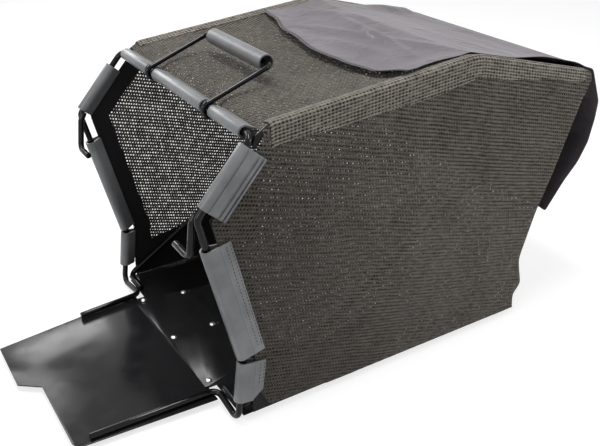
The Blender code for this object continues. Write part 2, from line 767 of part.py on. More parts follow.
def build_sleeves():
    """The sewn sleeves round the top loop's side rods and the hem round its rear bar."""
    wall = SLEEVE_R - ROD_R - GAP
    rear = REAR_BAR[0] - LOOP_BEND - SLEEVE_END_GAP
    ridge_line = filleted(
        [
            (0, SLEEVE_FRONT, height_on(LOOP_FRONT, RIDGE, SLEEVE_FRONT)),
            (0, *RIDGE),
            (0, rear, height_on(RIDGE, REAR_BAR, rear)),
        ],
        LOOP_BEND,
    )
    for label, side in SIDES:
        path = [Vector((side * LOOP_HALF, p.y, p.z)) for p in ridge_line]
        hollow_tube(f"sleeve_{label}", path, SLEEVE_R, wall, MESH_CLOTH)
    hem = [(-HEM_HALF, *REAR_BAR), (HEM_HALF, *REAR_BAR)]
    hollow_tube("rear_hem", hem, SLEEVE_R, wall, MESH_CLOTH)


def build_liners():
    """The black liner inside each side, along the mouth and under the brace."""
    front = offset_line(MOUTH_LINE, SIDE_START + GAP)
    inner = offset_line(MOUTH_LINE, LINER_WIDTH)
    floor = PLATE_TOP + GAP
    outline = [
        front[0],
        front[1],
        front[2],
        (front[2][0] - LINER_NOTCH_LEAN, LINER_NOTCH[0]),
        (SIDE_FRONT_LOW, LINER_NOTCH[1]),
        (SIDE_FRONT_LOW + LINER_TOE, floor),
        (LINER_FOOT, floor),
        (LINER_FOOT - LINER_REAR_LEAN, LINER_TOP),
        (inner[2][0], LINER_TOP - LINER_FALL),
        inner[2],
        inner[1],
        inner[0],
    ]
    for label, side in SIDES:
        x = side * (SIDE_INNER - GAP - LINER / 2)
        flat(f"side_liner_{label}", [outline], LINER, SIDEWAYS, (x, 0, 0), LINER_CLOTH)


def build_dust_cover():
    """The nylon cover over the rear of the top, which hangs down behind the bag."""
    over = ROD_R / 2 + CLOTH / 2 + COVER / 2 + GAP
    round_hem = arc(REAR_BAR, SLEEVE_R + COVER + 2 * GAP, COVER_HEM_ANGLE, 0, 5)
    before_hem = REAR_BAR[0] - 3 * SLEEVE_R
    middle = Vector(REAR_MIDDLE)
    line = [
        (COVER_FRONT, height_on(LOOP_FRONT, RIDGE, COVER_FRONT) + over + GAP),
        (RIDGE[0], RIDGE[1] + over),
        (before_hem, height_on(RIDGE, REAR_BAR, before_hem) + over),
        *round_hem,
        Vector(REAR_BAR) + Vector(COVER_BELOW_BAR),
        middle + Vector(COVER_OVER_MIDDLE),
        middle + Vector(COVER_AT_MIDDLE),
        middle + Vector(COVER_FOOT),
    ]
    flat("dust_cover", [ribbon(line, COVER)], 2 * COVER_HALF, SIDEWAYS, (0, 0, 0), NYLON)


def shade():
    """Smooth the round pieces and keep their sharp edges."""
    for thing in COLLECTIONS["grass_catcher"].objects:
        if thing.type == "MESH":
            thing.data.shade_smooth()
            thing.data.set_sharp_from_angle(angle=math.radians(35.0))


def hang_on_origin():
    """Parent every loose piece and cutter to an empty that brings the floor's middle to zero."""
    origin = bpy.data.objects.new("catcher_origin", None)
    bpy.context.scene.collection.objects.link(origin)
    origin.location.y = -FLOOR_MIDDLE * MM
    for collection in COLLECTIONS.values():
        for thing in collection.objects:
            if thing.parent is None:
                thing.parent = origin


build_mouth_hoop()
build_hooks()
build_top_loop()
build_braces()
build_chute_tray()
build_floor_plate()
build_rivets()
build_side_clips()
build_top_clips()
build_handle()
build_bag_sides()
build_bag_walls()
build_sleeves()
build_liners()
build_dust_cover()
shade()
hang_on_origin()
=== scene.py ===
"""Looks of a rear grass catcher: a black rod frame and chute hung with a mesh bag.

Sizes are in millimetres, as on the maker's drawing: X across the mouth, Y back from the mouth's
top bar and Z up from the ground. spot() turns a place on the drawing into the frame's metres.
"""

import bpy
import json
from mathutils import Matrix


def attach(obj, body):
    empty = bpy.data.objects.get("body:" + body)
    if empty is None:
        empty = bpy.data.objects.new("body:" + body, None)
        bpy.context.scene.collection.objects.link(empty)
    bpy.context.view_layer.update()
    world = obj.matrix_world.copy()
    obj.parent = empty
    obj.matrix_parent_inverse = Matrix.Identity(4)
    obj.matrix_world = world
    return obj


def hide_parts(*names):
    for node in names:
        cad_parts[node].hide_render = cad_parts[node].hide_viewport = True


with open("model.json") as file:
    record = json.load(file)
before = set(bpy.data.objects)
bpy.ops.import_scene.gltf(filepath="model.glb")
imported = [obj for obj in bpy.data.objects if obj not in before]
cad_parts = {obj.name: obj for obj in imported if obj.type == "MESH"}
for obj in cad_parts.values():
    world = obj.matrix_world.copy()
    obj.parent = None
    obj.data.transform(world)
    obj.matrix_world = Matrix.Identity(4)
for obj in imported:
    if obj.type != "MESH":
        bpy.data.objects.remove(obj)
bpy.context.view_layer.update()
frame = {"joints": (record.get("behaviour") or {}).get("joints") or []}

import json
import logging
import math
from dataclasses import dataclass, field
from enum import Enum
from typing import Callable, Sequence

import bpy
from mathutils import Matrix, Vector

log = logging.getLogger("grass_catcher")

MM = 0.001
JOINTS = {joint["name"]: Vector(joint["pos_m"]) for joint in frame["joints"]}
TOP_BAR_PLACE = JOINTS["handle_hinge"]
GRIP_PLACE = JOINTS["grip_spin"]

Pair = tuple[float, float]
Triple = tuple[float, float, float]
Laid = tuple[Vector, Pair]
Piece = bpy.types.Object
Tree = bpy.types.NodeTree
Sockets = bpy.types.NodeInputs

# The mouth's side outline as (Y, Z), and the sizes that several pieces share
ROD_R = 3.75
TOP_BAR: Pair = (0.0, 342.0)
HOOK_VERTEX: Pair = (-65.0, 268.0)
LOWER_VERTEX: Pair = (-22.0, 85.0)
FOOT: Pair = (-33.0, ROD_R)
MOUTH_HALF = 179.0
SIDE_FACE = 182.75
LOOP_HALF = 176.1
LOOP_FRONT: Pair = (22.0, 347.5)
RIDGE: Pair = (290.0, 373.0)
REAR_BAR: Pair = (484.0, 322.0)
TRAY_TOP = 8.6
PLATE_TOP = 10.4
SEAM_Z = 9.5
REAR_FOOT: Pair = (388.0, SEAM_Z)
STITCH_R = 0.45


class Body(Enum):
    """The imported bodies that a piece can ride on."""

    FRAME = "frame"
    HANDLE = "handle"
    GRIP = "grip"


class Slot(Enum):
    """The record's material slots."""

    ROD = "black_rod"
    SHEET = "black_sheet"
    CLIP = "clip_plastic"
    GRIP = "grip_plastic"
    MESH = "mesh_cloth"
    LINER = "liner_cloth"
    NYLON = "nylon"
    ZINC = "zinc"


class ClipFace(Enum):
    """How a clip's outer face is made."""

    GROOVED = "two deep grooves and a lip"
    SEWN = "a folded ridge and two rows of stitches"
    PLAIN = "one groove"


def spot(x: float, y: float, z: float) -> Vector:
    """The place in the frame, in metres, of a place on the drawing."""
    return Vector((x * MM, y * MM + TOP_BAR_PLACE.y, z * MM))


def drawn_place(place: Vector) -> Triple:
    """The place on the drawing of a place in the frame."""
    return ((place - spot(0, 0, 0)) / MM)[:]


def arc(radius: float, degrees: Sequence[int], centre: Pair = (0.0, 0.0)) -> list[Pair]:
    """Points on an arc round a centre, at angles in degrees."""
    turns = [math.radians(angle) for angle in degrees]
    return [(centre[0] + radius * math.cos(turn), centre[1] + radius * math.sin(turn)) for turn in turns]


def smooth_step(low: float, high: float, value: float) -> float:
    """0 below low, 1 above high and an even S between them."""
    share = min(1.0, max(0.0, (value - low) / (high - low)))
    return share * share * (3.0 - 2.0 * share)


def along_line(points: Sequence[Sequence[float]], share: float) -> Vector:
    """The point at a share of the length of a line of points.

    Args:
        points: the line's points, in two or three dimensions.
        share: 0 at the first point, 1 at the last.
    """
    spots = [Vector(point) for point in points]
    spans = [(there - here).length for here, there in zip(spots, spots[1:])]
    left = share * sum(spans)
    for here, there, span in zip(spots, spots[1:], spans):
        if left <= span:
            return here.lerp(there, left / span)
        left -= span
    return spots[-1]


def height_on(start: Pair, end: Pair, y: float) -> float:
    """The height at y of the line through two (Y, Z) points."""
    return start[1] + (end[1] - start[1]) * (y - start[0]) / (end[0] - start[0])


class Wire:
    """A node's output socket that takes part in Python arithmetic.

    Args:
        tree: the node tree that holds the socket.
        socket: the output socket.
    """

    def __init__(self, tree: Tree, socket: bpy.types.NodeSocket) -> None:
        """Keeps the tree and the socket."""
        self.tree = tree
        self.socket = socket

    def math(self, operation: str, *others: "Wire | float") -> "Wire":
        """This value and others put through one Math node."""
        return node(self.tree, "ShaderNodeMath", {"operation": operation}, self, *others)

    def axis(self, name: str) -> "Wire":
        """This vector's X, Y or Z."""
        return node(self.tree, "ShaderNodeSeparateXYZ", {}, self, out=name)

    def __add__(self, other: "Wire | float") -> "Wire":
        """This value plus another."""
        return self.math("ADD", other)

    def __sub__(self, other: "Wire | float") -> "Wire":
        """This value less another."""
        return self.math("SUBTRACT", other)

    def __mul__(self, other: "Wire | float") -> "Wire":
        """This value times another."""
        return self.math("MULTIPLY", other)

    def __truediv__(self, other: "Wire | float") -> "Wire":
        """This value divided by another."""
        return self.math("DIVIDE", other)

    def __radd__(self, other: float) -> "Wire":
        """A number plus this value."""
        return self.math("ADD", other)

    def __rmul__(self, other: float) -> "Wire":
        """A number times this value."""
        return self.math("MULTIPLY", other)

    def __rsub__(self, other: float) -> "Wire":
        """A number less this value."""
        return self.math("MULTIPLY", -1.0).math("ADD", other)

    def ramp(self, low: float, high: float) -> "Wire":
        """0 below low, 1 above high and an even S between them."""
        settings = {"interpolation_type": "SMOOTHSTEP"}
        return node(self.tree, "ShaderNodeMapRange", settings, self, low, high)


def node(tree: Tree, kind: str, settings: dict, *inputs: object, out: object = 0, **named: object) -> Wire:
    """Adds a node, sets it up and fills its sockets.

    Args:
        tree: the node tree.
        kind: the node's type.
        settings: its properties, set before its sockets.
        inputs: values or wires for its first sockets, None to skip one.
        out: the name or number of the output to give back.
        named: values or wires for sockets by name, with _ for a space.

    Returns:
        The output as a Wire.
    """
    made = tree.nodes.new(kind)
    for key, value in settings.items():
        setattr(made, key, value)
    pairs = [(made.inputs[index], value) for index, value in enumerate(inputs) if value is not None]
    pairs += [(made.inputs[key.replace("_", " ")], value) for key, value in named.items()]
    for socket, value in pairs:
        if isinstance(value, Wire):
            tree.links.new(value.socket, socket)
        else:
            socket.default_value = value
    return Wire(tree, made.outputs[out])


def mixed(factor: Wire, first: "Wire | Triple", second: "Wire | Triple") -> Wire:
    """A colour between two colours."""
    made = factor.tree.nodes.new("ShaderNodeMix")
    made.data_type = "RGBA"
    factor.tree.links.new(factor.socket, made.inputs["Factor"])
    for socket, value in ((made.inputs[6], first), (made.inputs[7], second)):
        if isinstance(value, Wire):
            factor.tree.links.new(value.socket, socket)
        else:
            socket.default_value = (*value, 1.0)
    return Wire(factor.tree, made.outputs[2])


@dataclass(frozen=True)
class Finish:
    """A surface finish, made as one material.

    Args:
        name: the material's name.
        colour: the base colour.
        roughness: the base roughness.
        metallic: 1 for bare metal.
        coat: weight of a clear coat.
        shine: the specular level, 0.5 for a common plastic or paint.
        sheen: weight of the soft edge light of cloth.
    """

    name: str
    colour: Triple
    roughness: float
    metallic: float = 0.0
    coat: float = 0.0
    shine: float = 0.5
    sheen: float = 0.0

    def material(self) -> bpy.types.Material:
        """The finish's material, made the first time it is asked for."""
        found = bpy.data.materials.get("look_" + self.name)
        if found:
            return found
        made = bpy.data.materials.new("look_" + self.name)
        made.use_nodes = True
        tree = made.node_tree
        shader = tree.nodes["Principled BSDF"]
        shader.inputs["Base Color"].default_value = (*self.colour, 1.0)
        shader.inputs["Roughness"].default_value = self.roughness
        shader.inputs["Metallic"].default_value = self.metallic
        shader.inputs["Coat Weight"].default_value = self.coat
        shader.inputs["Specular IOR Level"].default_value = self.shine
        shader.inputs["Sheen Weight"].default_value = self.sheen
        self.detail(tree, shader.inputs)
        return made

    def detail(self, tree: Tree, sockets: Sockets) -> None:
        """Adds what varies over the surface. A plain finish has nothing."""

    def place(self, tree: Tree) -> Wire:
        """The surface point in the frame."""
        return node(tree, "ShaderNodeTexCoord", {}, out="Object")

    def noise(self, tree: Tree, scale: float, detail: float = 2.0) -> Wire:
        """Noise over the frame's space, scale in waves to a metre."""
        return node(tree, "ShaderNodeTexNoise", {}, self.place(tree), out="Fac", Scale=scale, Detail=detail)

    def drift(self, tree: Tree, sockets: Sockets, cloud: Wire, shares: Pair) -> None:
        """Lets the base colour drift between two shares of itself."""
        dark, light = (tuple(share * part for part in self.colour) for share in shares)
        tree.links.new(mixed(cloud.ramp(0.3, 0.7), dark, light).socket, sockets["Base Color"])

    def bump(self, tree: Tree, sockets: Sockets, height: Wire, depth: float) -> None:
        """Feeds a height of 0 to 1 to the normal, depth in millimetres."""
        made = node(tree, "ShaderNodeBump", {}, Height=height, Distance=depth * MM, Strength=1.0)
        tree.links.new(made.socket, sockets["Normal"])


@dataclass(frozen=True)
class Enamel(Finish):
    """Gloss black paint with a faint orange peel and dulled patches."""

    peel: float = 0.015
    dull: float = 0.1

    def detail(self, tree: Tree, sockets: Sockets) -> None:
        """Varies the gloss and roughens the paint a little."""
        cloud = self.noise(tree, 38.0, 4.0)
        rough = cloud.ramp(0.35, 0.75) * self.dull + self.roughness
        tree.links.new(rough.socket, sockets["Roughness"])
        self.bump(tree, sockets, self.noise(tree, 700.0), self.peel)


@dataclass(frozen=True)
class Moulded(Finish):
    """Satin moulded plastic with fine grain and a slight drift of tone."""

    grain: float = 0.02

    def detail(self, tree: Tree, sockets: Sockets) -> None:
        """Varies the tone and adds the grain."""
        self.drift(tree, sockets, self.noise(tree, 30.0, 5.0), (0.8, 1.15))
        self.bump(tree, sockets, self.noise(tree, 1800.0), self.grain)


@dataclass(frozen=True)
class Knit(Finish):
    """Open knitted mesh: rows of small holes between dark threads.

    Args:
        pitch: from hole to hole along a row, and from row to row.
        hole: half sizes of one hole.
        light_yarn_and_highlight: the lighter colour of the yarn, toward which its slubs and drift lean, and
            also a painted highlight on the raised threads between rows of holes.
        turn: how far the rows slope across the cloth, in degrees.
        stagger: the shift of each second row, as a share of the pitch.
        doubled_shaded_holes: whether the cloth is doubled, so that the holes are not open but painted dark,
            as shade on the cloth beneath them.
    """

    pitch: Pair = (3.9, 4.5)
    hole: Pair = (0.8, 0.76)
    light_yarn_and_highlight: Triple = (0.105, 0.096, 0.083)
    turn: float = 15.7
    stagger: float = 0.5
    doubled_shaded_holes: bool = False

    def detail(self, tree: Tree, sockets: Sockets) -> None:
        """Opens the holes or, on doubled cloth, paints shade in them; paints highlight on the threads and
        shade by the mouth; raises the threads.
        """
        cloth = node(tree, "ShaderNodeUVMap", {"uv_map": "cloth"})
        turn = (0.0, 0.0, -math.radians(self.turn))
        pitch = (*(part * MM for part in self.pitch), 1.0)
        cells = node(tree, "ShaderNodeMapping", {"vector_type": "TEXTURE"}, cloth, Rotation=turn, Scale=pitch)
        along, across = cells.axis("X"), cells.axis("Y")
        row = across.math("FLOOR")
        shifted = along + row.math("MODULO", 2.0) * self.stagger
        cell_x = shifted.math("FRACT") - 0.5
        cell_y = across.math("FRACT") - 0.5
        wide = cell_x * (self.pitch[0] / self.hole[0])
        high = cell_y * (self.pitch[1] / self.hole[1])
        key = node(tree, "ShaderNodeCombineXYZ", {}, shifted.math("FLOOR"), row)
        chance = node(tree, "ShaderNodeTexWhiteNoise", {}, key)
        far = (wide * wide + high * high).math("SQRT") / (chance * 0.8 + 0.6)
        solid = far.ramp(0.7, 1.3) * 0.75 + 0.25
        # Painted highlight: the threads between rows of holes are lightened towards the lighter yarn colour,
        # as light on their raised tops; the slubs and drift below are real yarn tone.
        crest_highlight = (cell_y.math("ABSOLUTE") * 2.0).ramp(0.1, 0.85)
        drift = self.noise(tree, 22.0, 4.0).ramp(0.3, 0.7)
        tone = crest_highlight * 0.43 + self.slub(tree, cells).ramp(0.32, 0.68) * 0.4 + drift * 0.17
        colour = mixed(tone, self.colour, self.light_yarn_and_highlight)
        # Doubled cloth: the holes are painted dark, as shade on the layer of cloth beneath them.
        if self.doubled_shaded_holes:
            colour = mixed(far.ramp(0.7, 1.7), tuple(0.3 * part for part in self.colour), colour)
        else:
            # Painted shade: low on the right side by the mouth the threads are darkened towards the cloth's
            # dark base colour.
            colour = mixed(self.painted_shade_by_mouth(tree) * 0.45, colour, self.colour)
            tree.links.new(solid.socket, sockets["Alpha"])
        tree.links.new(colour.socket, sockets["Base Color"])
        self.bump(tree, sockets, far.ramp(0.9, 2.2), 0.9)

    def painted_shade_by_mouth(self, tree: Tree) -> Wire:
        """1 low on the right side by the mouth, where painted shade darkens the cloth, and 0 further back and
        up.
        """
        x, y, z = (self.place(tree).axis(name) for name in "XYZ")
        return x.ramp(0.1, 0.17) * (1 - y.ramp(-0.24, -0.02)) * (1 - z.ramp(0.27, 0.34))

    def slub(self, tree: Tree, cells: Wire) -> Wire:
        """Uneven yarn: noise drawn out along the rows of the knit."""
        drawn = node(tree, "ShaderNodeMapping", {"vector_type": "POINT"}, cells, Scale=(0.35, 1.3, 1.0))
        return node(tree, "ShaderNodeTexNoise", {}, drawn, out="Fac", Scale=1.0, Detail=4.0)


@dataclass(frozen=True)
class Coated(Finish):
    """Black coated cloth with a fine plain weave."""

    pitch: float = 1.1

    def detail(self, tree: Tree, sockets: Sockets) -> None:
        """Raises the weave and breaks up the sheen."""
        rate = 2 * math.pi / (self.pitch * MM)
        along, up = ((self.place(tree).axis(name) * rate).math("SINE") for name in "YZ")
        self.bump(tree, sockets, along * up * 0.5 + 0.5, 0.12)


@dataclass(frozen=True)
class Nylon(Finish):
    """Thin satin nylon with soft creasing."""

    def detail(self, tree: Tree, sockets: Sockets) -> None:
        """Adds small creases, a fine grain and a drift of tone."""
        self.drift(tree, sockets, self.noise(tree, 14.0, 5.0), (0.85, 1.15))
        crease = self.noise(tree, 20.0, 4.0)
        ridge = (crease - 0.5).math("ABSOLUTE").ramp(0.0, 0.12)
        fine = self.noise(tree, 900.0, 2.0)
        self.bump(tree, sockets, crease * 0.6 - ridge * 0.12 + fine * 0.02, 7.0)


@dataclass(frozen=True)
class BrightZinc(Finish):
    """Bright zinc with fine scuffs."""

    def detail(self, tree: Tree, sockets: Sockets) -> None:
        """Varies the roughness and pits the surface."""
        rough = self.noise(tree, 400.0, 4.0).ramp(0.3, 0.8) * 0.25 + self.roughness
        tree.links.new(rough.socket, sockets["Roughness"])
        self.bump(tree, sockets, self.noise(tree, 1500.0), 0.03)


ROD_PAINT = Enamel("rod_paint", (0.004, 0.004, 0.005), 0.08, shine=0.2, dull=0.03)
SHEET_PAINT = Enamel("sheet_paint", (0.01, 0.01, 0.011), 0.15, shine=0.24, peel=0.02)
CLIP_PLASTIC = Moulded("clip_plastic", (0.145, 0.15, 0.155), 0.34, shine=0.4)
GRIP_PLASTIC = Moulded("grip_plastic", (0.125, 0.128, 0.132), 0.4, shine=0.4)
# The worn colours are the lighter yarn and also the painted highlight on the threads between rows of holes.
BAG_KNIT = Knit("bag_knit", (0.016, 0.014, 0.011), 0.9, light_yarn_and_highlight=(0.128, 0.113, 0.095), shine=0.1, sheen=0.12)
# The band's holes are painted dark, as shade on the doubled cloth beneath them.
BAND_KNIT = Knit(
    "band_knit", (0.05, 0.045, 0.037), 0.9, shine=0.1, sheen=0.12,
    pitch=(4.5, 3.7), hole=(1.0, 0.8), light_yarn_and_highlight=(0.27, 0.245, 0.21), turn=0.0, stagger=0.0, doubled_shaded_holes=True,
)
LINER_COAT = Coated("liner_coat", (0.009, 0.009, 0.01), 0.6, shine=0.15)
COVER_NYLON = Nylon("cover_nylon", (0.1, 0.088, 0.1), 0.4, shine=0.4)
BINDING = Nylon("cover_binding", (0.03, 0.027, 0.031), 0.6)
THREAD = Moulded("thread", (0.02, 0.019, 0.018), 0.7)
ZINC = BrightZinc("bright_zinc", (0.75, 0.75, 0.73), 0.25, metallic=1.0)


def choose(*pieces: Piece) -> None:
    """Selects some pieces and nothing else, the first of them active."""
    bpy.ops.object.select_all(action="DESELECT")
    for piece in pieces:
        piece.select_set(True)
    bpy.context.view_layer.objects.active = pieces[0]


def begin(name: str, primitive: Callable, **settings: object) -> Piece:
    """Adds a primitive at its size and place and opens it in edit mode, all of it selected."""
    if bpy.context.object and bpy.context.object.mode != "OBJECT":
        bpy.ops.object.mode_set(mode="OBJECT")
    bpy.ops.object.select_all(action="DESELECT")
    primitive(**settings)
    piece = bpy.context.object
    piece.name = name
    piece.data.name = name
    bpy.ops.object.transform_apply(location=True, rotation=True, scale=True)
    bpy.ops.object.mode_set(mode="EDIT")
    return piece


def draw(name: str, points: Sequence[Vector]) -> Piece:
    """Draws an open line by extruding one vertex from place to place."""
    piece = begin(name, bpy.ops.mesh.primitive_plane_add, size=MM, location=points[0])
    bpy.ops.mesh.merge(type="CENTER")
    for here, there in zip(points, points[1:]):
        bpy.ops.mesh.extrude_region_move(TRANSFORM_OT_translate={"value": there - here})
    return piece


def spin(centre: Vector, axis: Vector, angle: float, steps: int) -> None:
    """Extrudes what is selected round an axis, by the right-hand rule."""
    bpy.ops.mesh.spin(steps=steps, angle=-angle, center=centre, axis=axis)


def close() -> None:
    """Merges the doubles of the piece in edit mode, points its faces outwards and leaves edit mode."""
    bpy.ops.mesh.select_all(action="SELECT")
    bpy.ops.mesh.remove_doubles(threshold=0.005 * MM)
    bpy.ops.mesh.normals_make_consistent(inside=False)
    bpy.ops.object.mode_set(mode="OBJECT")


def slab(name: str, outline: Sequence[Vector], depth: Vector) -> Piece:
    """An outline, drawn, filled and extruded."""
    piece = draw(name, outline)
    bpy.ops.mesh.select_all(action="SELECT")
    bpy.ops.mesh.edge_face_add()
    bpy.ops.mesh.extrude_region_move(TRANSFORM_OT_translate={"value": depth})
    close()
    return piece


def apply_modifier(piece: Piece, kind: str, **settings: object) -> None:
    """Adds a modifier with its settings and applies it."""
    bpy.context.view_layer.objects.active = piece
    modifier = piece.modifiers.new("step", kind)
    for key, value in settings.items():
        setattr(modifier, key, value)
    bpy.ops.object.modifier_apply(modifier=modifier.name)


def round_edges(piece: Piece, width: float, limit: float = 40.0) -> None:
    """Rounds the sharp edges of a piece, width in millimetres and limit in degrees."""
    settings = {"width": width * MM, "segments": 2, "limit_method": "ANGLE"}
    apply_modifier(piece, "BEVEL", angle_limit=math.radians(limit), **settings)


def dress(piece: Piece, finish: Finish, slot: Slot, body: Body, *nodes: str, smooth: float = 35.0) -> Piece:
    """Gives a finished piece its material, its shading and its place in the model.

    Args:
        piece: the finished piece.
        finish: its finish.
        slot: the record's slot; not used.
        body: the body that it rides on.
        nodes: the solids that it stands for.
        smooth: edges flatter than this many degrees are shaded smooth.
    """
    choose(piece)
    bpy.ops.object.shade_smooth_by_angle(angle=math.radians(smooth))
    piece.data.materials.clear()
    piece.data.materials.append(finish.material())
    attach(piece, body.value)
    if nodes:
        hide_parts(*nodes)
    log.info("%s: %d faces", piece.name, len(piece.data.polygons))
    return piece


def twin(piece: Piece, name: str, change: Matrix) -> Piece:
    """A copy with its own mesh, moved or mirrored by a matrix."""
    mesh = piece.data.copy()
    mesh.transform(change)
    if change.determinant() < 0:
        mesh.flip_normals()
    mesh.name = name
    made = bpy.data.objects.new(name, mesh)
    bpy.context.scene.collection.objects.link(made)
    return made


class Rod:
    """A round bar, made by running a disc forward and spinning it round each bend.

    Args:
        name: the piece's name.
        start: where the bar begins.
        heading: the way it sets off.
        radius: the bar's radius in millimetres.
    """

    SIDES = 20

    def __init__(self, name: str, start: Vector, heading: Vector, radius: float) -> None:
        """Draws the disc at the bar's start."""
        self.at = start.copy()
        self.heading = heading.normalized()
        turn = self.heading.to_track_quat("Z", "Y").to_euler()
        circle = bpy.ops.mesh.primitive_circle_add
        size = {"vertices": self.SIDES, "radius": radius * MM, "fill_type": "NGON"}
        self.piece = begin(name, circle, location=start, rotation=turn, **size)

    def run(self, length: float) -> None:
        """Runs straight on by a length in metres."""
        step = self.heading * length
        bpy.ops.mesh.extrude_region_move(TRANSFORM_OT_translate={"value": step})
        self.at += step

    def bend(self, centre: Vector, axis: Vector, angle: float) -> None:
        """Bends round a centre by an angle in radians."""
        steps = max(2, math.ceil(math.degrees(abs(angle)) / 9.0))
        spin(centre, axis, angle, steps)
        turn = Matrix.Rotation(angle, 3, axis)
        self.at = centre + turn @ (self.at - centre)
        self.heading = turn @ self.heading

    def follow(self, corners: Sequence[Vector], radius: float) -> None:
        """Runs from corner to corner, bending at each but the last, radius in millimetres."""
        for corner, after in zip(corners, corners[1:]):
            ahead = (after - corner).normalized()
            turn = self.heading.angle(ahead)
            reach = radius * MM * math.tan(turn / 2)
            self.run((corner - self.at).length - reach)
            middle = (ahead - self.heading).normalized()
            centre = corner + middle * radius * MM / math.cos(turn / 2)
            self.bend(centre, self.heading.cross(ahead).normalized(), turn)
        self.run((corners[-1] - self.at).length)

    def done(self, edge: float = 0.5) -> Piece:
        """Closes the bar and rounds its two cut ends."""
        close()
        round_edges(self.piece, edge, 60.0)
        return self.piece


def bent_rod(name: str, corners: Sequence[Vector], bend: float, radius: float) -> Piece:
    """A rod along corners, with one bend radius."""
    rod = Rod(name, corners[0], corners[1] - corners[0], radius)
    rod.follow(corners[1:], bend)
    return rod.done()


def on_line(start: Pair, end: Pair, distance: float) -> Vector:
    """The (Y, Z) point at a distance from start towards end."""
    first, last = Vector(start), Vector(end)
    return first + (last - first).normalized() * distance


@dataclass
class RodWork:
    """The welded rods: the mouth's hoop, its two hooks, the top loop and the two braces."""

    corner_bend: float = 11.0
    arm_rear: Pair = (127.0, -121.0)
    arm_right: Pair = (124.0, -186.0)
    arm_left: Pair = (-112.0, -119.0)
    gap: float = 0.3
    hook_start: float = 93.5
    hook_drop: float = 48.0
    hook_reach: float = 34.0
    hook_lean: float = 7.0
    hook_bend: float = 8.0
    loop_bend: float = 20.0
    brace_half: float = 174.0
    brace_foot: float = 131.0
    brace_end: float = 468.0

    def hoop(self) -> None:
        """The rod round the mouth, its ends bent forward along the chute."""
        arm_z = TRAY_TOP + ROD_R + self.gap

        def half(side: int, front: Pair, rear_x: float) -> list[Vector]:
            """One side's corners, from the top bar down to the arm's end."""
            line = [TOP_BAR, HOOK_VERTEX, LOWER_VERTEX, FOOT]
            places = [spot(side * MOUTH_HALF, *point) for point in line]
            places.append(spot(rear_x, FOOT[0], arm_z))
            return [*places, spot(*front, arm_z)]

        right = half(1, self.arm_right, self.arm_rear[0])
        left = half(-1, self.arm_left, self.arm_rear[1])
        piece = bent_rod("hoop_rod", right[::-1] + left, self.corner_bend, ROD_R)
        dress(piece, ROD_PAINT, Slot.ROD, Body.FRAME, "mouth_hoop")

    def hooks(self) -> None:
        """The rods inside the vertex that drop and turn inwards."""
        start = on_line(TOP_BAR, HOOK_VERTEX, self.hook_start)
        low = (HOOK_VERTEX[0] - self.hook_lean, HOOK_VERTEX[1] - self.hook_drop + ROD_R)
        for label, side in (("right", 1), ("left", -1)):
            x = side * (MOUTH_HALF - 2 * ROD_R - self.gap)
            corners = [
                spot(x, *start),
                spot(x, HOOK_VERTEX[0] - 2.0, HOOK_VERTEX[1] - 6.0),
                spot(x, *low),
                spot(x - side * self.hook_reach, low[0] - 1.0, low[1] + 2.0),
            ]
            piece = bent_rod(f"hook_rod_{label}", corners, self.hook_bend, ROD_R)
            dress(piece, ROD_PAINT, Slot.ROD, Body.FRAME, f"hook_{label}")

    def top_loop(self) -> None:
        """The rod round the top of the bag."""
        down = on_line(TOP_BAR, HOOK_VERTEX, 7.5)
        slope = (Vector(HOOK_VERTEX) - Vector(TOP_BAR)).normalized()
        away = Vector((-slope.y, slope.x)) * (2 * ROD_R + self.gap)
        start = down + away
        corner = Vector(TOP_BAR) + away + (Vector(TOP_BAR) - down) * 0.4
        side = [start, corner, Vector(LOOP_FRONT), Vector(RIDGE), Vector(REAR_BAR)]
        right = [spot(LOOP_HALF, *point) for point in side]
        left = [spot(-LOOP_HALF, *point) for point in side[::-1]]
        rod = Rod("top_loop_rod", right[0], right[1] - right[0], ROD_R)
        rod.follow(right[1:3] + [right[2].lerp(right[3], 0.2)], 6.0)
        rod.follow(right[3:] + left[:2] + [left[2].lerp(left[1], 0.2)], self.loop_bend)
        rod.follow(left[2:], 6.0)
        dress(rod.done(), ROD_PAINT, Slot.ROD, Body.FRAME, "top_loop")

    def braces(self) -> None:
        """The braces, each from a foot on the floor plate to a rear corner."""
        foot_y = FOOT[0] + 2 * ROD_R + self.gap
        foot_z = PLATE_TOP + self.gap + ROD_R
        rear_z = height_on(RIDGE, REAR_BAR, self.brace_end)
        slope = Vector((self.brace_end - foot_y, rear_z - foot_z)).normalized()
        fall = (Vector(REAR_BAR) - Vector(RIDGE)).normalized()
        under = ROD_R / fall.x + ROD_R * slope.x + 2 * self.gap
        for label, side in (("right", 1), ("left", -1)):
            corners = [
                spot(side * self.brace_foot, foot_y, foot_z),
                spot(side * self.brace_half, foot_y, foot_z),
                spot(side * self.brace_half, self.brace_end, rear_z - under),
            ]
            piece = bent_rod(f"brace_rod_{label}", corners, self.corner_bend, ROD_R)
            dress(piece, ROD_PAINT, Slot.ROD, Body.FRAME, f"brace_{label}")

    def build(self) -> None:
        """Makes all the rods."""
        self.hoop()
        self.hooks()
        self.top_loop()
        self.braces()


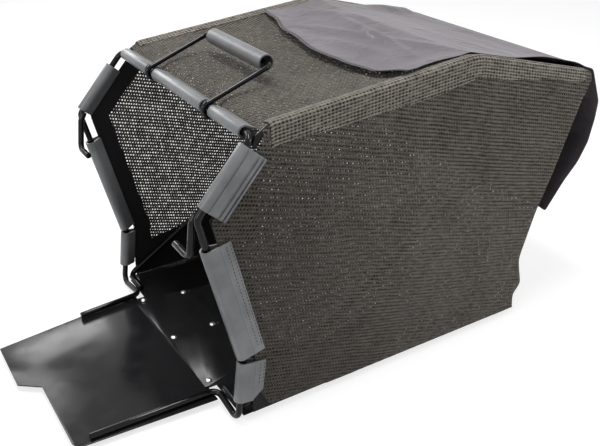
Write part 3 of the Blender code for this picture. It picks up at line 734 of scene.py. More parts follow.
@dataclass
class Chute:
    """The stepped chute tray, the ribbed floor plate and their rivets."""

    sheet: float = 1.5
    front_left: float = -229.0
    front_right: float = -205.0
    front_span: Pair = (-100.0, 130.0)
    rear_span: Pair = (-127.0, 138.0)
    step: Pair = (-14.0, 5.0)
    corner: float = 13.0
    neck: float = -37.95
    rear: float = -8.0
    tongue: float = 113.0
    plate_front: float = -42.0
    plate_rear: float = 80.0
    plate_half: float = 166.0
    shoulder: float = -28.65
    rib_x: float = 93.0
    rib_start: float = 28.0
    rib_length: float = 50.0
    rib_r: float = 3.0
    rib_rise: float = 1.6
    edge: float = 0.35
    rivet_rows: tuple[tuple[str, float, float], ...] = (("front", 104.0, -33.0), ("rear", 93.0, 22.0))
    rivet_gap: float = 0.3

    def cut_sheet(self, name: str, outline: Sequence[Pair], top: float) -> Piece:
        """A flat sheet cut to an outline, by the height of its upper face."""
        low = top - self.sheet
        return slab(name, [spot(x, y, low) for x, y in outline], Vector((0, 0, self.sheet * MM)))

    def tray(self) -> None:
        """The chute's tray, cut from sheet."""
        middle = Vector((self.front_span[1] - self.corner, self.front_right + self.corner))
        turns = [math.radians(angle) for angle in range(-90, 1, 10)]
        curve = [middle + self.corner * Vector((math.cos(a), math.sin(a))) for a in turns]
        outline = [
            (self.front_span[0], self.front_left),
            (self.step[0], self.front_left),
            (self.step[1], self.front_right),
            *curve,
            (self.rear_span[1], self.neck),
            (self.tongue, self.neck),
            (self.tongue, self.rear),
            (-self.tongue, self.rear),
            (-self.tongue, self.neck),
            (self.rear_span[0], self.neck),
        ]
        piece = self.cut_sheet("chute_sheet", outline, TRAY_TOP)
        round_edges(piece, self.edge)
        dress(piece, SHEET_PAINT, Slot.SHEET, Body.FRAME, "chute_tray")

    def rib(self, x: float) -> Piece:
        """One pressed rib: a ball cut in half, drawn out and pressed flat."""
        height = PLATE_TOP + self.rib_rise - self.rib_r
        ball = bpy.ops.mesh.primitive_uv_sphere_add
        place = spot(x, self.rib_start + self.rib_r, height)
        size = {"segments": 20, "ring_count": 12, "radius": self.rib_r * MM}
        piece = begin(f"rib_{x:.0f}", ball, location=place, **size)
        rear = place.y + 0.1 * MM
        stretch = Vector((0, (self.rib_length - 2 * self.rib_r) * MM, 0))
        bpy.ops.mesh.bisect(plane_co=place, plane_no=(0, 1, 0))
        bpy.ops.object.mode_set(mode="OBJECT")
        for vert in piece.data.vertices:
            if vert.co.y > rear:
                vert.co += stretch
        return piece

    def plate(self) -> None:
        """The plate over the chute inside the mouth, with three pressed ribs."""
        outline = [
            (-self.tongue, self.plate_front),
            (self.tongue, self.plate_front),
            (self.tongue, self.shoulder),
            (self.plate_half, self.shoulder),
            (self.plate_half, self.plate_rear),
            (-self.plate_half, self.plate_rear),
            (-self.plate_half, self.shoulder),
            (-self.tongue, self.shoulder),
        ]
        piece = self.cut_sheet("plate_sheet", outline, PLATE_TOP)
        for share in (-1, 0, 1):
            rib = self.rib(share * self.rib_x)
            apply_modifier(piece, "BOOLEAN", operation="UNION", solver="EXACT", object=rib)
            bpy.data.objects.remove(rib)
        round_edges(piece, self.edge, 60.0)
        dress(piece, SHEET_PAINT, Slot.SHEET, Body.FRAME, "floor_plate")

    def rivet(self, name: str, x: float, y: float, under: float) -> None:
        """One domed rivet, whose shank ends under the sheet at a height."""
        seat = PLATE_TOP + self.rivet_gap
        turns = [math.radians(a) for a in range(0, 91, 15)]
        section = [(4.0 * math.sin(turn), seat + 2.4 * math.cos(turn)) for turn in turns]
        section += [(2.0, seat), (2.0, under), (3.0, under), (3.0, under - 1.0), (0.0, under - 1.0)]
        piece = draw(name + "_dome", [spot(x + r, y, z) for r, z in section])
        bpy.ops.mesh.select_all(action="SELECT")
        spin(spot(x, y, 0), Vector((0, 0, 1)), 2 * math.pi, 24)
        close()
        round_edges(piece, 0.25, 60.0)
        dress(piece, ZINC, Slot.ZINC, Body.FRAME, name)

    def fasten(self) -> None:
        """The front rivets, through plate and tray, and the rear ones, through the plate."""
        for row, spread, y in self.rivet_rows:
            under = (TRAY_TOP - self.sheet if row == "front" else TRAY_TOP + self.rivet_gap) - self.rivet_gap
            for label, share in (("left", -1), ("middle", 0), ("right", 1)):
                self.rivet(f"rivet_{row}_{label}", share * spread, y, under)

    def build(self) -> None:
        """Makes the sheet metal and its rivets."""
        self.tray()
        self.plate()
        self.fasten()


@dataclass
class EdgeClips:
    """The plastic clips that hold the cloth to the mouth's rod."""

    radius: float = 7.5
    bore: float = 5.3
    tail: float = 25.0
    top_tail: float = 16.0
    inner: float = 4.9
    outer: float = 7.2
    bead: float = 0.6
    groove: float = 1.9
    leg: float = 13.5
    fold: float = 12.5
    rows: Pair = (18.5, 23.2)
    stitch: float = 4.6
    margin: float = 2.0
    spans: dict[str, tuple[Pair, Pair, Pair]] = field(
        default_factory=lambda: {
            "clip_upper_right": (TOP_BAR, HOOK_VERTEX, (10.5, 86.0)),
            "clip_upper_left": (TOP_BAR, HOOK_VERTEX, (23.5, 92.5)),
            "clip_lower_right": (HOOK_VERTEX, LOWER_VERTEX, (36.0, 184.0)),
            "clip_lower_left": (HOOK_VERTEX, LOWER_VERTEX, (41.0, 184.0)),
            "clip_short_right": (LOWER_VERTEX, FOOT, (3.0, 54.0)),
            "clip_short_left": (LOWER_VERTEX, FOOT, (3.0, 54.0)),
        }
    )
    cut: float = 13.0
    top_spans: dict[str, Pair] = field(
        default_factory=lambda: {
            "clip_top_left": (-163.0, -81.0),
            "clip_top_middle": (-60.0, 72.0),
            "clip_top_right": (93.0, 163.0),
        }
    )

    def section(self, tail: float, face: ClipFace) -> list[Pair]:
        """The clip's section as (back from the rod, outwards), a hook with a leg each side of the cloth."""
        line = arc(self.radius, range(100, 301, 10))
        line += [(9.0, -3.4), (self.leg, -1.3), (self.leg, 0.5), (8.5, -1.0), (5.2, -3.0)]
        line += [*arc(self.bore, range(300, 89, -10)), (1.5, self.inner), (tail, self.inner)]
        top = self.outer + self.bead
        cut = top - self.groove
        if face is ClipFace.GROOVED:
            line += [(tail, top), (tail - 2.4, top), (tail - 2.8, cut), (tail - 4.6, cut), (tail - 5.0, top)]
            line += [(tail - 8.0, top), (tail - 8.4, cut), (tail - 11.4, cut), (tail - 11.8, self.outer)]
            line += [(2.8, self.outer), (2.2, cut), (-0.8, cut)]
        elif face is ClipFace.SEWN:
            line += [(tail, self.outer - 0.3), (self.fold + 0.8, self.outer - 0.3), (self.fold + 0.4, top)]
            line += [(self.fold - 0.6, top), (self.fold - 1.0, self.outer), (0.0, self.outer)]
        else:
            line += [(tail, self.outer), (2.6, self.outer), (2.0, cut + 0.2), (-0.3, cut + 0.2)]
        return line

    def side_clip(self, name: str, start: Pair, end: Pair, span: Pair) -> Piece:
        """A clip on one straight run of the mouth's side."""
        side = 1 if name.endswith("right") else -1
        first, last = Vector((0, *start)), Vector((0, *end))
        along = (last - first).normalized()
        outward = Vector((side, 0, 0))
        back = along.cross(outward)
        back = -back if back.y < 0 else back
        base = first + along * span[0] + Vector((side * MOUTH_HALF, 0, 0))
        face = ClipFace.GROOVED if "upper" in name else ClipFace.SEWN
        points = [spot(*(base + back * b + outward * o)) for b, o in self.section(self.tail, face)]
        length = span[1] - span[0]
        piece = slab(name + "_strip", points, along * length * MM)
        short = "short" in name
        if short:
            self.cut_corner(base + along * length, along, back)
        if face is ClipFace.SEWN:
            steps = range(int((length - (self.cut if short else 0.0) - self.margin) / self.stitch))
            for row in self.rows:
                row_start = base + back * row + outward * self.outer
                ends = [row_start + along * (self.margin + self.stitch * step) for step in steps]
                sew_line(f"{name}_stitches_{row:.0f}", [spot(*place) for place in ends], outward)
        return piece

    def cut_corner(self, low: Vector, along: Vector, back: Vector) -> None:
        """Cuts the lower corner off the tail of the short clip, the active piece."""
        corner = low + back * (self.tail - self.cut)
        normal = (back + along).normalized()
        bpy.ops.object.mode_set(mode="EDIT")
        bpy.ops.mesh.select_all(action="SELECT")
        bpy.ops.mesh.bisect(plane_co=spot(*corner), plane_no=normal, clear_outer=True, use_fill=True)
        close()

    def build(self) -> None:
        """Makes the side and top clips."""
        for name, (start, end, span) in self.spans.items():
            piece = self.side_clip(name, start, end, span)
            round_edges(piece, 0.25, 50.0)
            dress(piece, CLIP_PLASTIC, Slot.CLIP, Body.FRAME, name)
        for name, (low, high) in self.top_spans.items():
            section = self.section(self.top_tail, ClipFace.PLAIN)
            outline = [spot(low, TOP_BAR[0] + b, TOP_BAR[1] - o) for b, o in section]
            piece = slab(name + "_strip", outline, Vector(((high - low) * MM, 0, 0)))
            round_edges(piece, 0.25, 50.0)
            dress(piece, CLIP_PLASTIC, Slot.CLIP, Body.FRAME, name)


@dataclass
class Handle:
    """The wire carrying handle with its two eyes, and the tube grip on it."""

    wire_r: float = 3.0
    eyes: Pair = (84.0, -72.0)
    eye_start: float = 350.0
    eye_r: float = 7.2
    corners: Pair = (77.0, -82.0)
    bend: float = 8.0
    grip_r: float = 9.8
    grip_length: float = 134.0
    bore: float = 3.4
    mouth_r: float = 7.9
    mouth_depth: float = 14.0

    def wire(self) -> None:
        """The wire, round the top bar at each end."""
        bar = TOP_BAR_PLACE
        reach = GRIP_PLACE - bar
        start = math.radians(self.eye_start)
        lean = math.atan2(reach.z, reach.y) - math.asin(self.eye_r * MM / reach.length)
        leave = lean + math.pi / 2
        x_axis = Vector((1, 0, 0))
        round_bar = Matrix.Rotation(start, 3, x_axis)
        first = bar + round_bar @ Vector((0, self.eye_r * MM, 0)) + x_axis * self.eyes[0] * MM
        rod = Rod("handle_rod", first, round_bar @ Vector((0, 0, -1)), self.wire_r)
        rod.bend(bar + x_axis * self.eyes[0] * MM, x_axis, leave - start)
        near, far = (bar + Vector((x * MM, reach.y, reach.z)) for x in self.corners)
        rod.heading = (near - rod.at).normalized()
        leave_at = Vector((self.eyes[1] * MM, rod.at.y, rod.at.z))
        rod.follow([near, far, leave_at], self.bend)
        rod.bend(bar + x_axis * self.eyes[1] * MM, x_axis, start - leave)
        dress(rod.done(), ROD_PAINT, Slot.ROD, Body.HANDLE, "handle_wire")

    def grip(self) -> None:
        """The tube grip, hollow at its ends."""
        end = self.grip_length / 2
        shoulder = end - self.mouth_depth
        outer = [(self.mouth_r, end), (self.grip_r - 0.5, end), (self.grip_r, end - 0.6)]
        inner = [(self.mouth_r, shoulder), (self.bore, shoulder - 2.0)]
        half = inner[::-1] + outer
        section = half + [(r, -x) for r, x in half[::-1]]
        place = GRIP_PLACE
        piece = draw("grip_tube", [place + Vector((x, 0, r)) * MM for r, x in section])
        bpy.ops.mesh.select_all(action="SELECT")
        bpy.ops.mesh.edge_face_add()
        bpy.ops.mesh.delete(type="ONLY_FACE")
        bpy.ops.mesh.select_all(action="SELECT")
        spin(place, Vector((1, 0, 0)), 2 * math.pi, 40)
        close()
        round_edges(piece, 0.3, 50.0)
        dress(piece, GRIP_PLASTIC, Slot.GRIP, Body.GRIP, "handle_grip")

    def build(self) -> None:
        """Makes the handle."""
        self.wire()
        self.grip()


def cloth_panel(name: str, cells: tuple[int, int], shape: Callable[[float, float], Laid]) -> Piece:
    """A cloth panel: a flat grid, each of whose points is laid out by a rule.

    Args:
        name: the piece's name.
        cells: the number of cells each way.
        shape: gives a point's place in the frame and its place on the flat cloth, in
            millimetres, from its share of each way of the grid.

    Returns:
        The panel, with its flat cloth as the UV map "cloth", in metres.
    """
    counts = {"x_subdivisions": cells[0], "y_subdivisions": cells[1]}
    piece = begin(name, bpy.ops.mesh.primitive_grid_add, size=1.0, location=(0.5, 0.5, 0), **counts)
    bpy.ops.object.mode_set(mode="OBJECT")
    mesh = piece.data
    laid = [shape(vert.co.x, vert.co.y) for vert in mesh.vertices]
    for layer in list(mesh.uv_layers):
        mesh.uv_layers.remove(layer)
    cloth = mesh.uv_layers.new(name="cloth")
    for loop in mesh.loops:
        cloth.data[loop.index].uv = Vector(laid[loop.vertex_index][1]) * MM
    for vert, (place, _) in zip(mesh.vertices, laid):
        vert.co = place
    return piece


def sewn(name: str, panels: Sequence[Piece]) -> Piece:
    """Panels joined into one piece, with their meeting edges merged."""
    choose(*panels)
    bpy.ops.object.join()
    piece = bpy.context.object
    piece.name = piece.data.name = name
    bpy.ops.object.mode_set(mode="EDIT")
    bpy.ops.mesh.select_all(action="SELECT")
    bpy.ops.mesh.remove_doubles(threshold=0.2 * MM)
    bpy.ops.mesh.normals_make_consistent(inside=False)
    bpy.ops.object.mode_set(mode="OBJECT")
    return piece


def close_seam(piece: Piece) -> None:
    """Merges the edges of a panel that is rolled into a tube, and fills its two ends."""
    choose(piece)
    bpy.ops.object.mode_set(mode="EDIT")
    bpy.ops.mesh.select_all(action="SELECT")
    bpy.ops.mesh.remove_doubles(threshold=0.05 * MM)
    bpy.ops.mesh.select_all(action="DESELECT")
    bpy.ops.mesh.select_non_manifold(extend=False)
    bpy.ops.mesh.fill_holes(sides=0)
    close()


def settle(piece: Piece, hold: Callable[[Vector], float], slack: float, cap: float) -> None:
    """Lets a cloth piece hang by simulation, with its result applied and its moves capped.

    Args:
        piece: the cloth, whose shape is where it starts from.
        hold: how firmly a point stays where it is, 1 for fixed, from its place in the frame.
        slack: the share of spare cloth.
        cap: the furthest that a point moves, in millimetres.
    """
    frames = 18
    start = [vert.co.copy() for vert in piece.data.vertices]
    group = piece.vertex_groups.new(name="held")
    for index, place in enumerate(start):
        group.add([index], hold(place), "REPLACE")
    modifier = piece.modifiers.new("drape", "CLOTH")
    cloth = modifier.settings
    cloth.quality = 5
    cloth.mass = 0.12
    cloth.tension_stiffness = cloth.compression_stiffness = 12.0
    cloth.bending_stiffness = 0.4
    cloth.shrink_min = -slack
    cloth.vertex_group_mass = group.name
    cloth.effector_weights.gravity = 0.35
    modifier.collision_settings.use_collision = False
    modifier.point_cache.frame_end = frames
    for step in range(1, frames + 1):
        bpy.context.scene.frame_set(step)
    bpy.context.view_layer.objects.active = piece
    bpy.ops.object.modifier_apply(modifier=modifier.name)
    for vert, place in zip(piece.data.vertices, start):
        move = (vert.co - place) / (cap * MM)
        vert.co = place + move / (1.0 + move.length) * cap * MM
    piece.vertex_groups.clear()
    bpy.context.scene.frame_set(1)


def flat_area(piece: Piece) -> float:
    """The area of a piece's cloth as it was cut, from its UV map, in square metres."""
    cloth = piece.data.uv_layers["cloth"].data
    total = 0.0
    for face in piece.data.polygons:
        spots = [cloth[index].uv for index in face.loop_indices]
        turns = zip(spots, spots[1:] + spots[:1])
        total += abs(sum(here.x * there.y - there.x * here.y for here, there in turns)) / 2
    return total


@dataclass
class MeshBag:
    """The bag: one lofted shell of knitted mesh from the mouth's clips to the rear bar."""

    half: float = SIDE_FACE
    rail_r: float = 4.8
    top_start: Pair = (12.0, 341.0)
    low_front: Pair = (7.0, SEAM_Z)
    rear_line: tuple[Pair, ...] = (
        (387.0, SEAM_Z), (387.0, 28.0), (399.0, 44.0), (393.0, 82.0),
        (416.0, 148.0), (438.0, 198.0), (474.0, 290.0), (487.0, 316.0),
    )
    side_cells: int = 36
    arc_cells: int = 4
    top_cells: int = 40
    long_cells: int = 56
    floor_front: float = 60.0
    floor_edge: float = 18.0
    slack: float = 0.008
    cap: float = 5.0
    cut: Pair = (1.08, 0.82)

    def rail(self, share: float) -> Vector:
        """The loop rod's (Y, Z) at a share of its way back, eased at the ridge."""
        line = [self.top_start, LOOP_FRONT, RIDGE, REAR_BAR]
        ease = 0.02 * smooth_step(0.0, 0.1, min(share, 1.0 - share))
        before, after = along_line(line, share - ease), along_line(line, share + ease)
        return (before + along_line(line, share) + after) / 3

    def front_line(self) -> list[Vector]:
        """The front edge of the cloth under the clips, as (Y, Z) from the floor up."""
        line = [Vector(point) for point in (TOP_BAR, HOOK_VERTEX, LOWER_VERTEX, FOOT)]
        normals = []
        for here, there in zip(line, line[1:]):
            run = (there - here).normalized()
            normals.append(Vector((-run.y, run.x)))
        away = 12.0
        upper = line[1] + (normals[0] + normals[1]) * away / (1 + normals[0].dot(normals[1]))
        lower = line[2] + (normals[1] + normals[2]) * away / (1 + normals[1].dot(normals[2]))
        first = line[0] + normals[0] * away
        end = on_line(LOWER_VERTEX, FOOT, 41.0) + normals[2] * 20.0
        return [Vector(self.low_front), end, lower, upper, first, Vector(self.top_start)]

    def side_point(self, back: float, up: float) -> Vector:
        """The (Y, Z) of a side's point, from its shares of the way back and up."""
        low = Vector(self.low_front).lerp(Vector(REAR_FOOT), back)
        high = self.rail(back)
        front = along_line(self.front_line(), up)
        rear = along_line([*self.rear_line, REAR_BAR], up)
        corners = [Vector(self.low_front), Vector(REAR_FOOT), Vector(REAR_BAR), Vector(self.top_start)]
        flat = corners[0].lerp(corners[1], back).lerp(corners[3].lerp(corners[2], back), up)
        return low.lerp(high, up) + front.lerp(rear, back) - flat

    def ring(self, back: float, around: float) -> Laid:
        """The place of a saddle point and its place on the cloth.

        Args:
            back: share of the way from the mouth to the rear.
            around: share of the girth, from the near seam over the top to the far seam.
        """
        total = 2 * self.side_cells + 2 * self.arc_cells + self.top_cells
        cell = around * total
        side = 1
        if cell > total / 2:
            cell = total - cell
            side = -1
        rail = self.rail(back)
        lean = self.half - LOOP_HALF - self.rail_r
        if cell <= self.side_cells:
            up = cell / self.side_cells
            y, z = self.side_point(back, up)
            x, girth = self.half - lean * smooth_step(0.6, 1.0, up), z
        elif cell <= self.side_cells + self.arc_cells:
            turn = (cell - self.side_cells) / self.arc_cells * math.pi / 2
            x = LOOP_HALF + self.rail_r * math.cos(turn)
            y, z = rail.x, rail.y + self.rail_r * math.sin(turn)
            girth = rail.y + self.rail_r * turn
        else:
            inner = LOOP_HALF
            share = (cell - self.side_cells - self.arc_cells) / (self.top_cells / 2)
            x = inner * (1 - share)
            lift = smooth_step(inner - 16.0, inner, x)
            sag = 3.0 * math.sin(math.pi * min(1.0, back * 1.05)) * math.cos(x / inner * math.pi / 2)
            y, z = rail.x, rail.y + self.rail_r * lift + (1.9 - sag) * (1 - lift)
            girth = rail.y + self.rail_r * math.pi / 2 + inner - x
        return spot(side * x, y, z), (y, girth)

    def rear(self, across: float, up: float) -> Laid:
        """The place of a rear panel point, whose edges meet the saddle's last ring and the floor."""
        columns = self.top_cells + 2 * self.arc_cells
        cell = across * columns
        total = 2 * self.side_cells + 2 * self.arc_cells + self.top_cells
        top, _ = self.ring(1.0, (self.side_cells + cell) / total)
        edge, _ = self.ring(1.0, up * self.side_cells / total)
        half = edge.x / MM
        share = 1 - 2 * across
        x_side = half * share
        y, z = along_line([*self.rear_line, REAR_BAR], up)
        base = spot(x_side, y, z)
        head = spot((LOOP_HALF + self.rail_r) * share, *REAR_BAR)
        bulge = 5.0 * math.sin(math.pi * across) * math.sin(math.pi * up)
        place = base + (top - head) * smooth_step(0.85, 1.0, up) + Vector((0, bulge * MM, 0))
        return place, (x_side, z)

    def hold(self, place: Vector) -> float:
        """How firmly a point of the shell is held: by the rods and clips, less by the seams."""
        x, y, z = drawn_place(place)
        rail = height_on(LOOP_FRONT, RIDGE, y) if y < RIDGE[0] else height_on(RIDGE, REAR_BAR, y)
        upper = abs(y - height_on(TOP_BAR[::-1], HOOK_VERTEX[::-1], z))
        middle = abs(y - height_on(HOOK_VERTEX[::-1], LOWER_VERTEX[::-1], z))
        front = 1 - smooth_step(46.0, 80.0, min(upper, middle))
        foot = (1 - smooth_step(98.0, 130.0, y)) * (1 - smooth_step(76.0, 110.0, z))
        by_rail = 1 - smooth_step(6.0, 22.0, abs(z - rail))
        over_rail = by_rail * smooth_step(LOOP_HALF - 22.0, LOOP_HALF - 8.0, abs(x))
        rear = 1 - smooth_step(6.0, 24.0, (Vector((y, z)) - Vector(REAR_BAR)).length)
        floor = 1 - smooth_step(4.0, 16.0, z)
        return min(1.0, max(front, foot, over_rail, rear, floor))

    def floor(self, across: float, back: float) -> Laid:
        """The place of a floor point: seamed to the walls, and lying on the ground between."""
        x = self.half * (1 - 2 * across)
        near_wall = smooth_step(self.half - self.floor_edge, self.half, abs(x))
        front = self.low_front[0] + (self.floor_front - self.low_front[0]) * (1 - near_wall)
        y = front + (REAR_FOOT[0] - front) * back
        drop = smooth_step(80.0, 98.0, y)
        level = 7.5 + (0.8 - 7.5) * drop
        at_wall = max(near_wall, smooth_step(REAR_FOOT[0] - self.floor_edge, REAR_FOOT[0], y))
        return spot(x, y, level + (SEAM_Z - level) * at_wall), (x, y)

    def build(self) -> None:
        """Sews the shell and dresses it."""
        ring_cells = 2 * self.side_cells + 2 * self.arc_cells + self.top_cells
        columns = self.top_cells + 2 * self.arc_cells
        saddle = cloth_panel("bag_shell", (self.long_cells, ring_cells), self.ring)
        rear = cloth_panel("bag_rear_panel", (columns, self.side_cells), self.rear)
        floor = cloth_panel("bag_floor_panel", (columns, self.long_cells), self.floor)
        shell = sewn("bag_shell", [saddle, rear, floor])
        settle(shell, self.hold, self.slack, self.cap)
        apply_modifier(shell, "SUBSURF", levels=1, render_levels=1, uv_smooth="NONE")
        nodes = ("bag_side_left", "bag_side_right", "bag_top", "bag_rear", "bag_floor", "rear_hem")
        dress(shell, BAG_KNIT, Slot.MESH, Body.FRAME, *nodes, smooth=60.0)
        flat_area(shell)


@dataclass
class RidgeBands:
    """The doubled cloth folded over each side rail of the loop."""

    edge: tuple[Pair, ...] = (
        (24.0, 20.0), (110.0, 23.0), (227.0, 26.0), (305.0, 21.0), (427.0, 13.0), (482.0, 10.0),
    )
    thickness: float = 0.7
    stitches: int = 96
    seam: float = 0.06
    inner: float = 13.0
    clear: float = 0.55
    start: float = 0.02
    end: float = 0.975
    length: float = 478.0

    def depth(self, y: float) -> float:
        """How far the band reaches down the side at y."""
        for here, there in zip(self.edge, self.edge[1:]):
            if y <= there[0]:
                return here[1] + (there[1] - here[1]) * smooth_step(here[0], there[0], y)
        return self.edge[-1][1]

    def build(self) -> None:
        """Makes both bands and the stitches along their lower edges."""
        bag = MeshBag()
        for label, side in (("right", 1), ("left", -1)):

            def shape(back: float, around: float) -> Laid:
                """The place of a band point, by its shares of the length and of the girth."""
                rail = bag.rail(self.start + (self.end - self.start) * back)
                depth = self.depth(rail.x)
                radius = bag.rail_r + self.clear
                arc = radius * math.pi / 2
                girth = around * (depth + arc + self.inner)
                outside = LOOP_HALF + radius
                if girth < depth:
                    lean = (SIDE_FACE - LOOP_HALF - bag.rail_r) * smooth_step(0.0, 120.0, depth - girth)
                    x, z = outside + lean, rail.y - depth + girth
                elif girth < depth + arc:
                    turn = (girth - depth) / radius
                    x = LOOP_HALF + radius * math.cos(turn)
                    z = rail.y + radius * math.sin(turn)
                else:
                    over = girth - depth - arc
                    x = LOOP_HALF - over
                    z = rail.y + 2.6 + (radius - 2.6) * (1 - smooth_step(0.0, self.inner, over))
                return spot(side * x, rail.x, z), (rail.x, girth - depth)

            band = cloth_panel(f"ridge_band_{label}", (90, 20), shape)
            apply_modifier(band, "SOLIDIFY", thickness=self.thickness * MM, offset=0.0)
            dress(band, BAND_KNIT, Slot.MESH, Body.FRAME, f"sleeve_{label}", smooth=60.0)
            shares = [step / self.stitches for step in range(self.stitches + 1)]
            seam = [shape(share, self.seam)[0] + Vector((side * STITCH_R * MM, 0, 0)) for share in shares]
            stitches = sew_line(f"band_stitches_{label}", seam, Vector((side, 0, 0)))
            width = max(depth for _, depth in self.edge) + self.inner + 9.0


def beside(points: Sequence[Pair], distance: float) -> list[Vector]:
    """A (Y, Z) line moved sideways, to the left of the way it runs."""
    line = [Vector(point) for point in points]
    runs = [(there - here).normalized() for here, there in zip(line, line[1:])]
    normals = [Vector((-run.y, run.x)) for run in runs]
    moved = [line[0] + normals[0] * distance]
    for corner, first, second in zip(line[1:], normals, normals[1:]):
        moved.append(corner + (first + second) * distance / (1 + first.dot(second)))
    moved.append(line[-1] + normals[-1] * distance)
    return moved


def sew_line(name: str, line: Sequence[Vector], out: Vector) -> Piece:
    """A row of stitches along a line: one short thread, modelled once and copied.

    Args:
        name: the row's name.
        line: the places between which the stitches lie.
        out: the way that faces away from the cloth.
    """
    ball = bpy.ops.mesh.primitive_uv_sphere_add
    stitch = begin(name, ball, segments=6, ring_count=4, radius=STITCH_R * MM, location=(0, 0, 0))
    bpy.ops.transform.resize(value=(3.0, 1.0, 0.8), center_override=(0, 0, 0))
    bpy.ops.object.mode_set(mode="OBJECT")
    copies = []
    for index, (here, there) in enumerate(zip(line, line[1:])):
        along = (there - here).normalized()
        across = out.cross(along).normalized()
        turn = Matrix((along, across, along.cross(across))).transposed().to_4x4()
        copies.append(twin(stitch, f"{name}_{index}", Matrix.Translation((here + there) / 2) @ turn))
    bpy.data.objects.remove(stitch)
    choose(*copies)
    bpy.ops.object.join()
    row = bpy.context.object
    row.name = row.data.name = name
    return dress(row, THREAD, Slot.MESH, Body.FRAME, smooth=80.0)


@dataclass
class Liners:
    """The black coated cloth inside each side, along the mouth, with a black sheet of painted shade drawn on
    at its foot.
    """

    thickness: float = 1.0
    start: float = 12.3
    width: float = 35.0
    middle: float = 180.1
    low: float = 8.3
    lap: float = 42.0
    lap_span: Pair = (-26.0, 120.0)
    # The last three points carry the liner back to Y 190 as a black sheet of painted shade: it stands for the
    # dark, shaded floor seen through the lower mesh, not for cloth.
    foot: tuple[Pair, ...] = ((-14.0, 30.0), (-14.0, 8.3), (190.0, 8.3), (190.0, 104.0), (87.0, 72.0))
    cut: Pair = (0.2, 0.33)

    def build(self) -> None:
        """Makes both liners from the side's outline, with the black sheet of painted shade at their feet, and
        their laps under the floor plate.
        """
        line = [TOP_BAR, HOOK_VERTEX, LOWER_VERTEX, FOOT]
        front, inner = beside(line, self.start), beside(line, self.width)
        outline = [*front[:3], (front[2].x - 3.0, 48.0), *self.foot, (inner[2].x, 60.0), *inner[2::-1]]
        area = abs(sum(a[0] * b[1] - b[0] * a[1] for a, b in zip(outline, outline[1:] + outline[:1]))) / 2
        for label, side in (("right", 1), ("left", -1)):
            x = side * self.middle - self.thickness / 2
            points = [spot(x, y, z) for y, z in outline]
            piece = slab(f"liner_cloth_{label}", points, Vector((self.thickness * MM, 0, 0)))
            dress(piece, LINER_COAT, Slot.LINER, Body.FRAME, f"side_liner_{label}")
            near, far = side * (self.middle - 0.6), side * (self.middle - self.lap)
            front_y, rear_y = self.lap_span
            corners = [(near, front_y), (near, rear_y), (far, rear_y), (far, front_y)]
            points = [spot(x, y, self.low) for x, y in corners]
            lap = slab(f"liner_lap_{label}", points, Vector((0, 0, -0.5 * MM)))
            dress(lap, LINER_COAT, Slot.LINER, Body.FRAME)
            area * MM * MM


